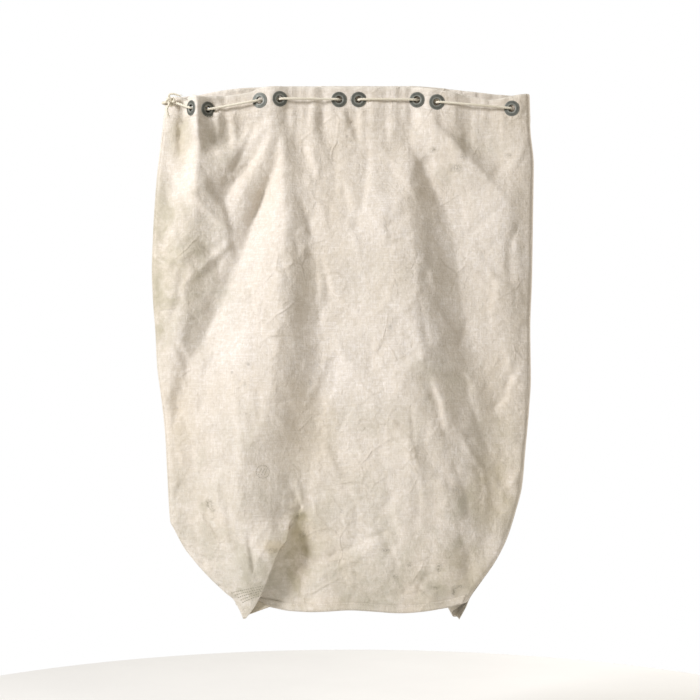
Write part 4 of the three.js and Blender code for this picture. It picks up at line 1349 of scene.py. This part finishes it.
PANEL_PARTS = ("upper", "middle_left", "middle_right", "lower_left", "lower_right")
for side, ear_node in ((FRONT, "left_ear"), (BACK, "right_ear")):
    word = SIDE_NAME[side]
    nodes = [f"{word}_panel_{part}" for part in PANEL_PARTS]
    place(make_wall(side), "canvas", *nodes, f"hem_{word}", ear_node)
for is_left, word in ((True, "left"), (False, "right")):
    wrapped_round = edge_points(is_left, np.linspace(16.0, -856, 300), 0.74, 0.18, 8)
    place(strip(f"side_seam_strip_{word}", wrapped_round, FRONT), "canvas", f"side_seam_{word}")
for side, word in SIDE_NAME.items():
    band = strip(f"base_seam_band_{word}", base_seam_points(side, 0.85), side)
    place(band, "canvas", f"base_seam_{word}")
base = place(make_base(), "canvas_inside", "base_panel")
place(make_underfold(), "canvas")

sewing = [hem_stitches(), base_stitches(FRONT), base_stitches(BACK), ear_stitches(FRONT),
          ear_stitches(BACK), seam_stitches(True), seam_stitches(False), darn()]
for run in sewing:
    place(run, "canvas")

for number, seat in enumerate(SEATS, start=1):
    ring = turned(f"eyelet_{number:02d}", GROMMET, GROMMET_WORN, seat)
    place(ring, "eyelet_metal", f"grommet_{number:02d}")
    back_ring = turned(f"eyelet_washer_{number:02d}", WASHER, WASHER_WORN, seat)
    place(back_ring, "eyelet_metal", f"washer_{number:02d}")

place(laid_cord("draw_cord_laid", cord_route()), "cotton_cord", "draw_cord")
place(make_knot(), "cotton_cord", "draw_knot")
fray_rng = np.random.default_rng(3)
tails = {name: make_tail(name, fray_rng) for name in TAILS}
for name, (tail, _) in tails.items():
    place(tail, "cotton_cord", name)
for _, fray in tails.values():
    place(fray, "cotton_cord")


# ---- floor, light and camera
def make_floor():
    bpy.ops.mesh.primitive_circle_add(vertices=96, radius=1.15, fill_type="NGON",
                                      location=(0, 0.05, -1.16))
    floor = bpy.context.object
    floor.name = "studio_floor"
    m = Nodes("pale_floor")
    m.set(Base_Color=m.ramp(m.noise(m.place(), 3), [(0.4, 0.86), (0.6, 0.88)]), Roughness=0.9)
    floor.data.materials.append(m.material)


def area_light(name, place_at, aim, size, power, color):
    data = bpy.data.lights.new(name, "AREA")
    data.shape = "SQUARE"
    data.size = size
    data.energy = power
    data.color = color
    light = bpy.data.objects.new(name, data)
    light.location = place_at
    light.rotation_euler = (Vector(aim) - Vector(place_at)).to_track_quat("-Z", "Y").to_euler()
    bpy.context.scene.collection.objects.link(light)


def white_world():
    """White to the camera, and a softer white as light."""
    world = bpy.data.worlds.new("studio")
    bpy.context.scene.world = world
    world.use_nodes = True
    tree = world.node_tree
    seen = tree.nodes["Background"]
    seen.inputs["Strength"].default_value = 1.0
    seen.inputs["Color"].default_value = rgb(1, 1, 1)
    lit = tree.nodes.new("ShaderNodeBackground")
    lit.inputs["Color"].default_value = rgb(1.0, 0.93, 0.80)
    lit.inputs["Strength"].default_value = 0.37
    path = tree.nodes.new("ShaderNodeLightPath")
    mixer = tree.nodes.new("ShaderNodeMixShader")
    tree.links.new(path.outputs["Is Camera Ray"], mixer.inputs[0])
    tree.links.new(lit.outputs[0], mixer.inputs[1])
    tree.links.new(seen.outputs[0], mixer.inputs[2])
    tree.links.new(mixer.outputs[0], tree.nodes["World Output"].inputs["Surface"])


def add_camera():
    data = bpy.data.cameras.new("camera")
    data.lens = 85
    data.sensor_width = 36
    camera = bpy.data.objects.new("camera", data)
    camera.location = (-0.006, -2.871, -0.422)
    camera.rotation_euler = (math.radians(90), 0, 0)
    bpy.context.scene.collection.objects.link(camera)
    bpy.context.scene.camera = camera


make_floor()
white_world()
area_light("key", (-2.5, -1.7, 0.9), (0, 0, -0.4), 0.8, 109, (0.965, 0.97, 1.0))
area_light("fill", (1.8, -2.6, 0.4), (0, 0, -0.45), 1.6, 10, (1.0, 0.98, 0.95))
area_light("back_key", (2.5, 1.7, 0.9), (0, 0, -0.4), 0.8, 78, (1.0, 0.98, 0.95))
bpy.context.scene.view_settings.view_transform = "Standard"
add_camera()
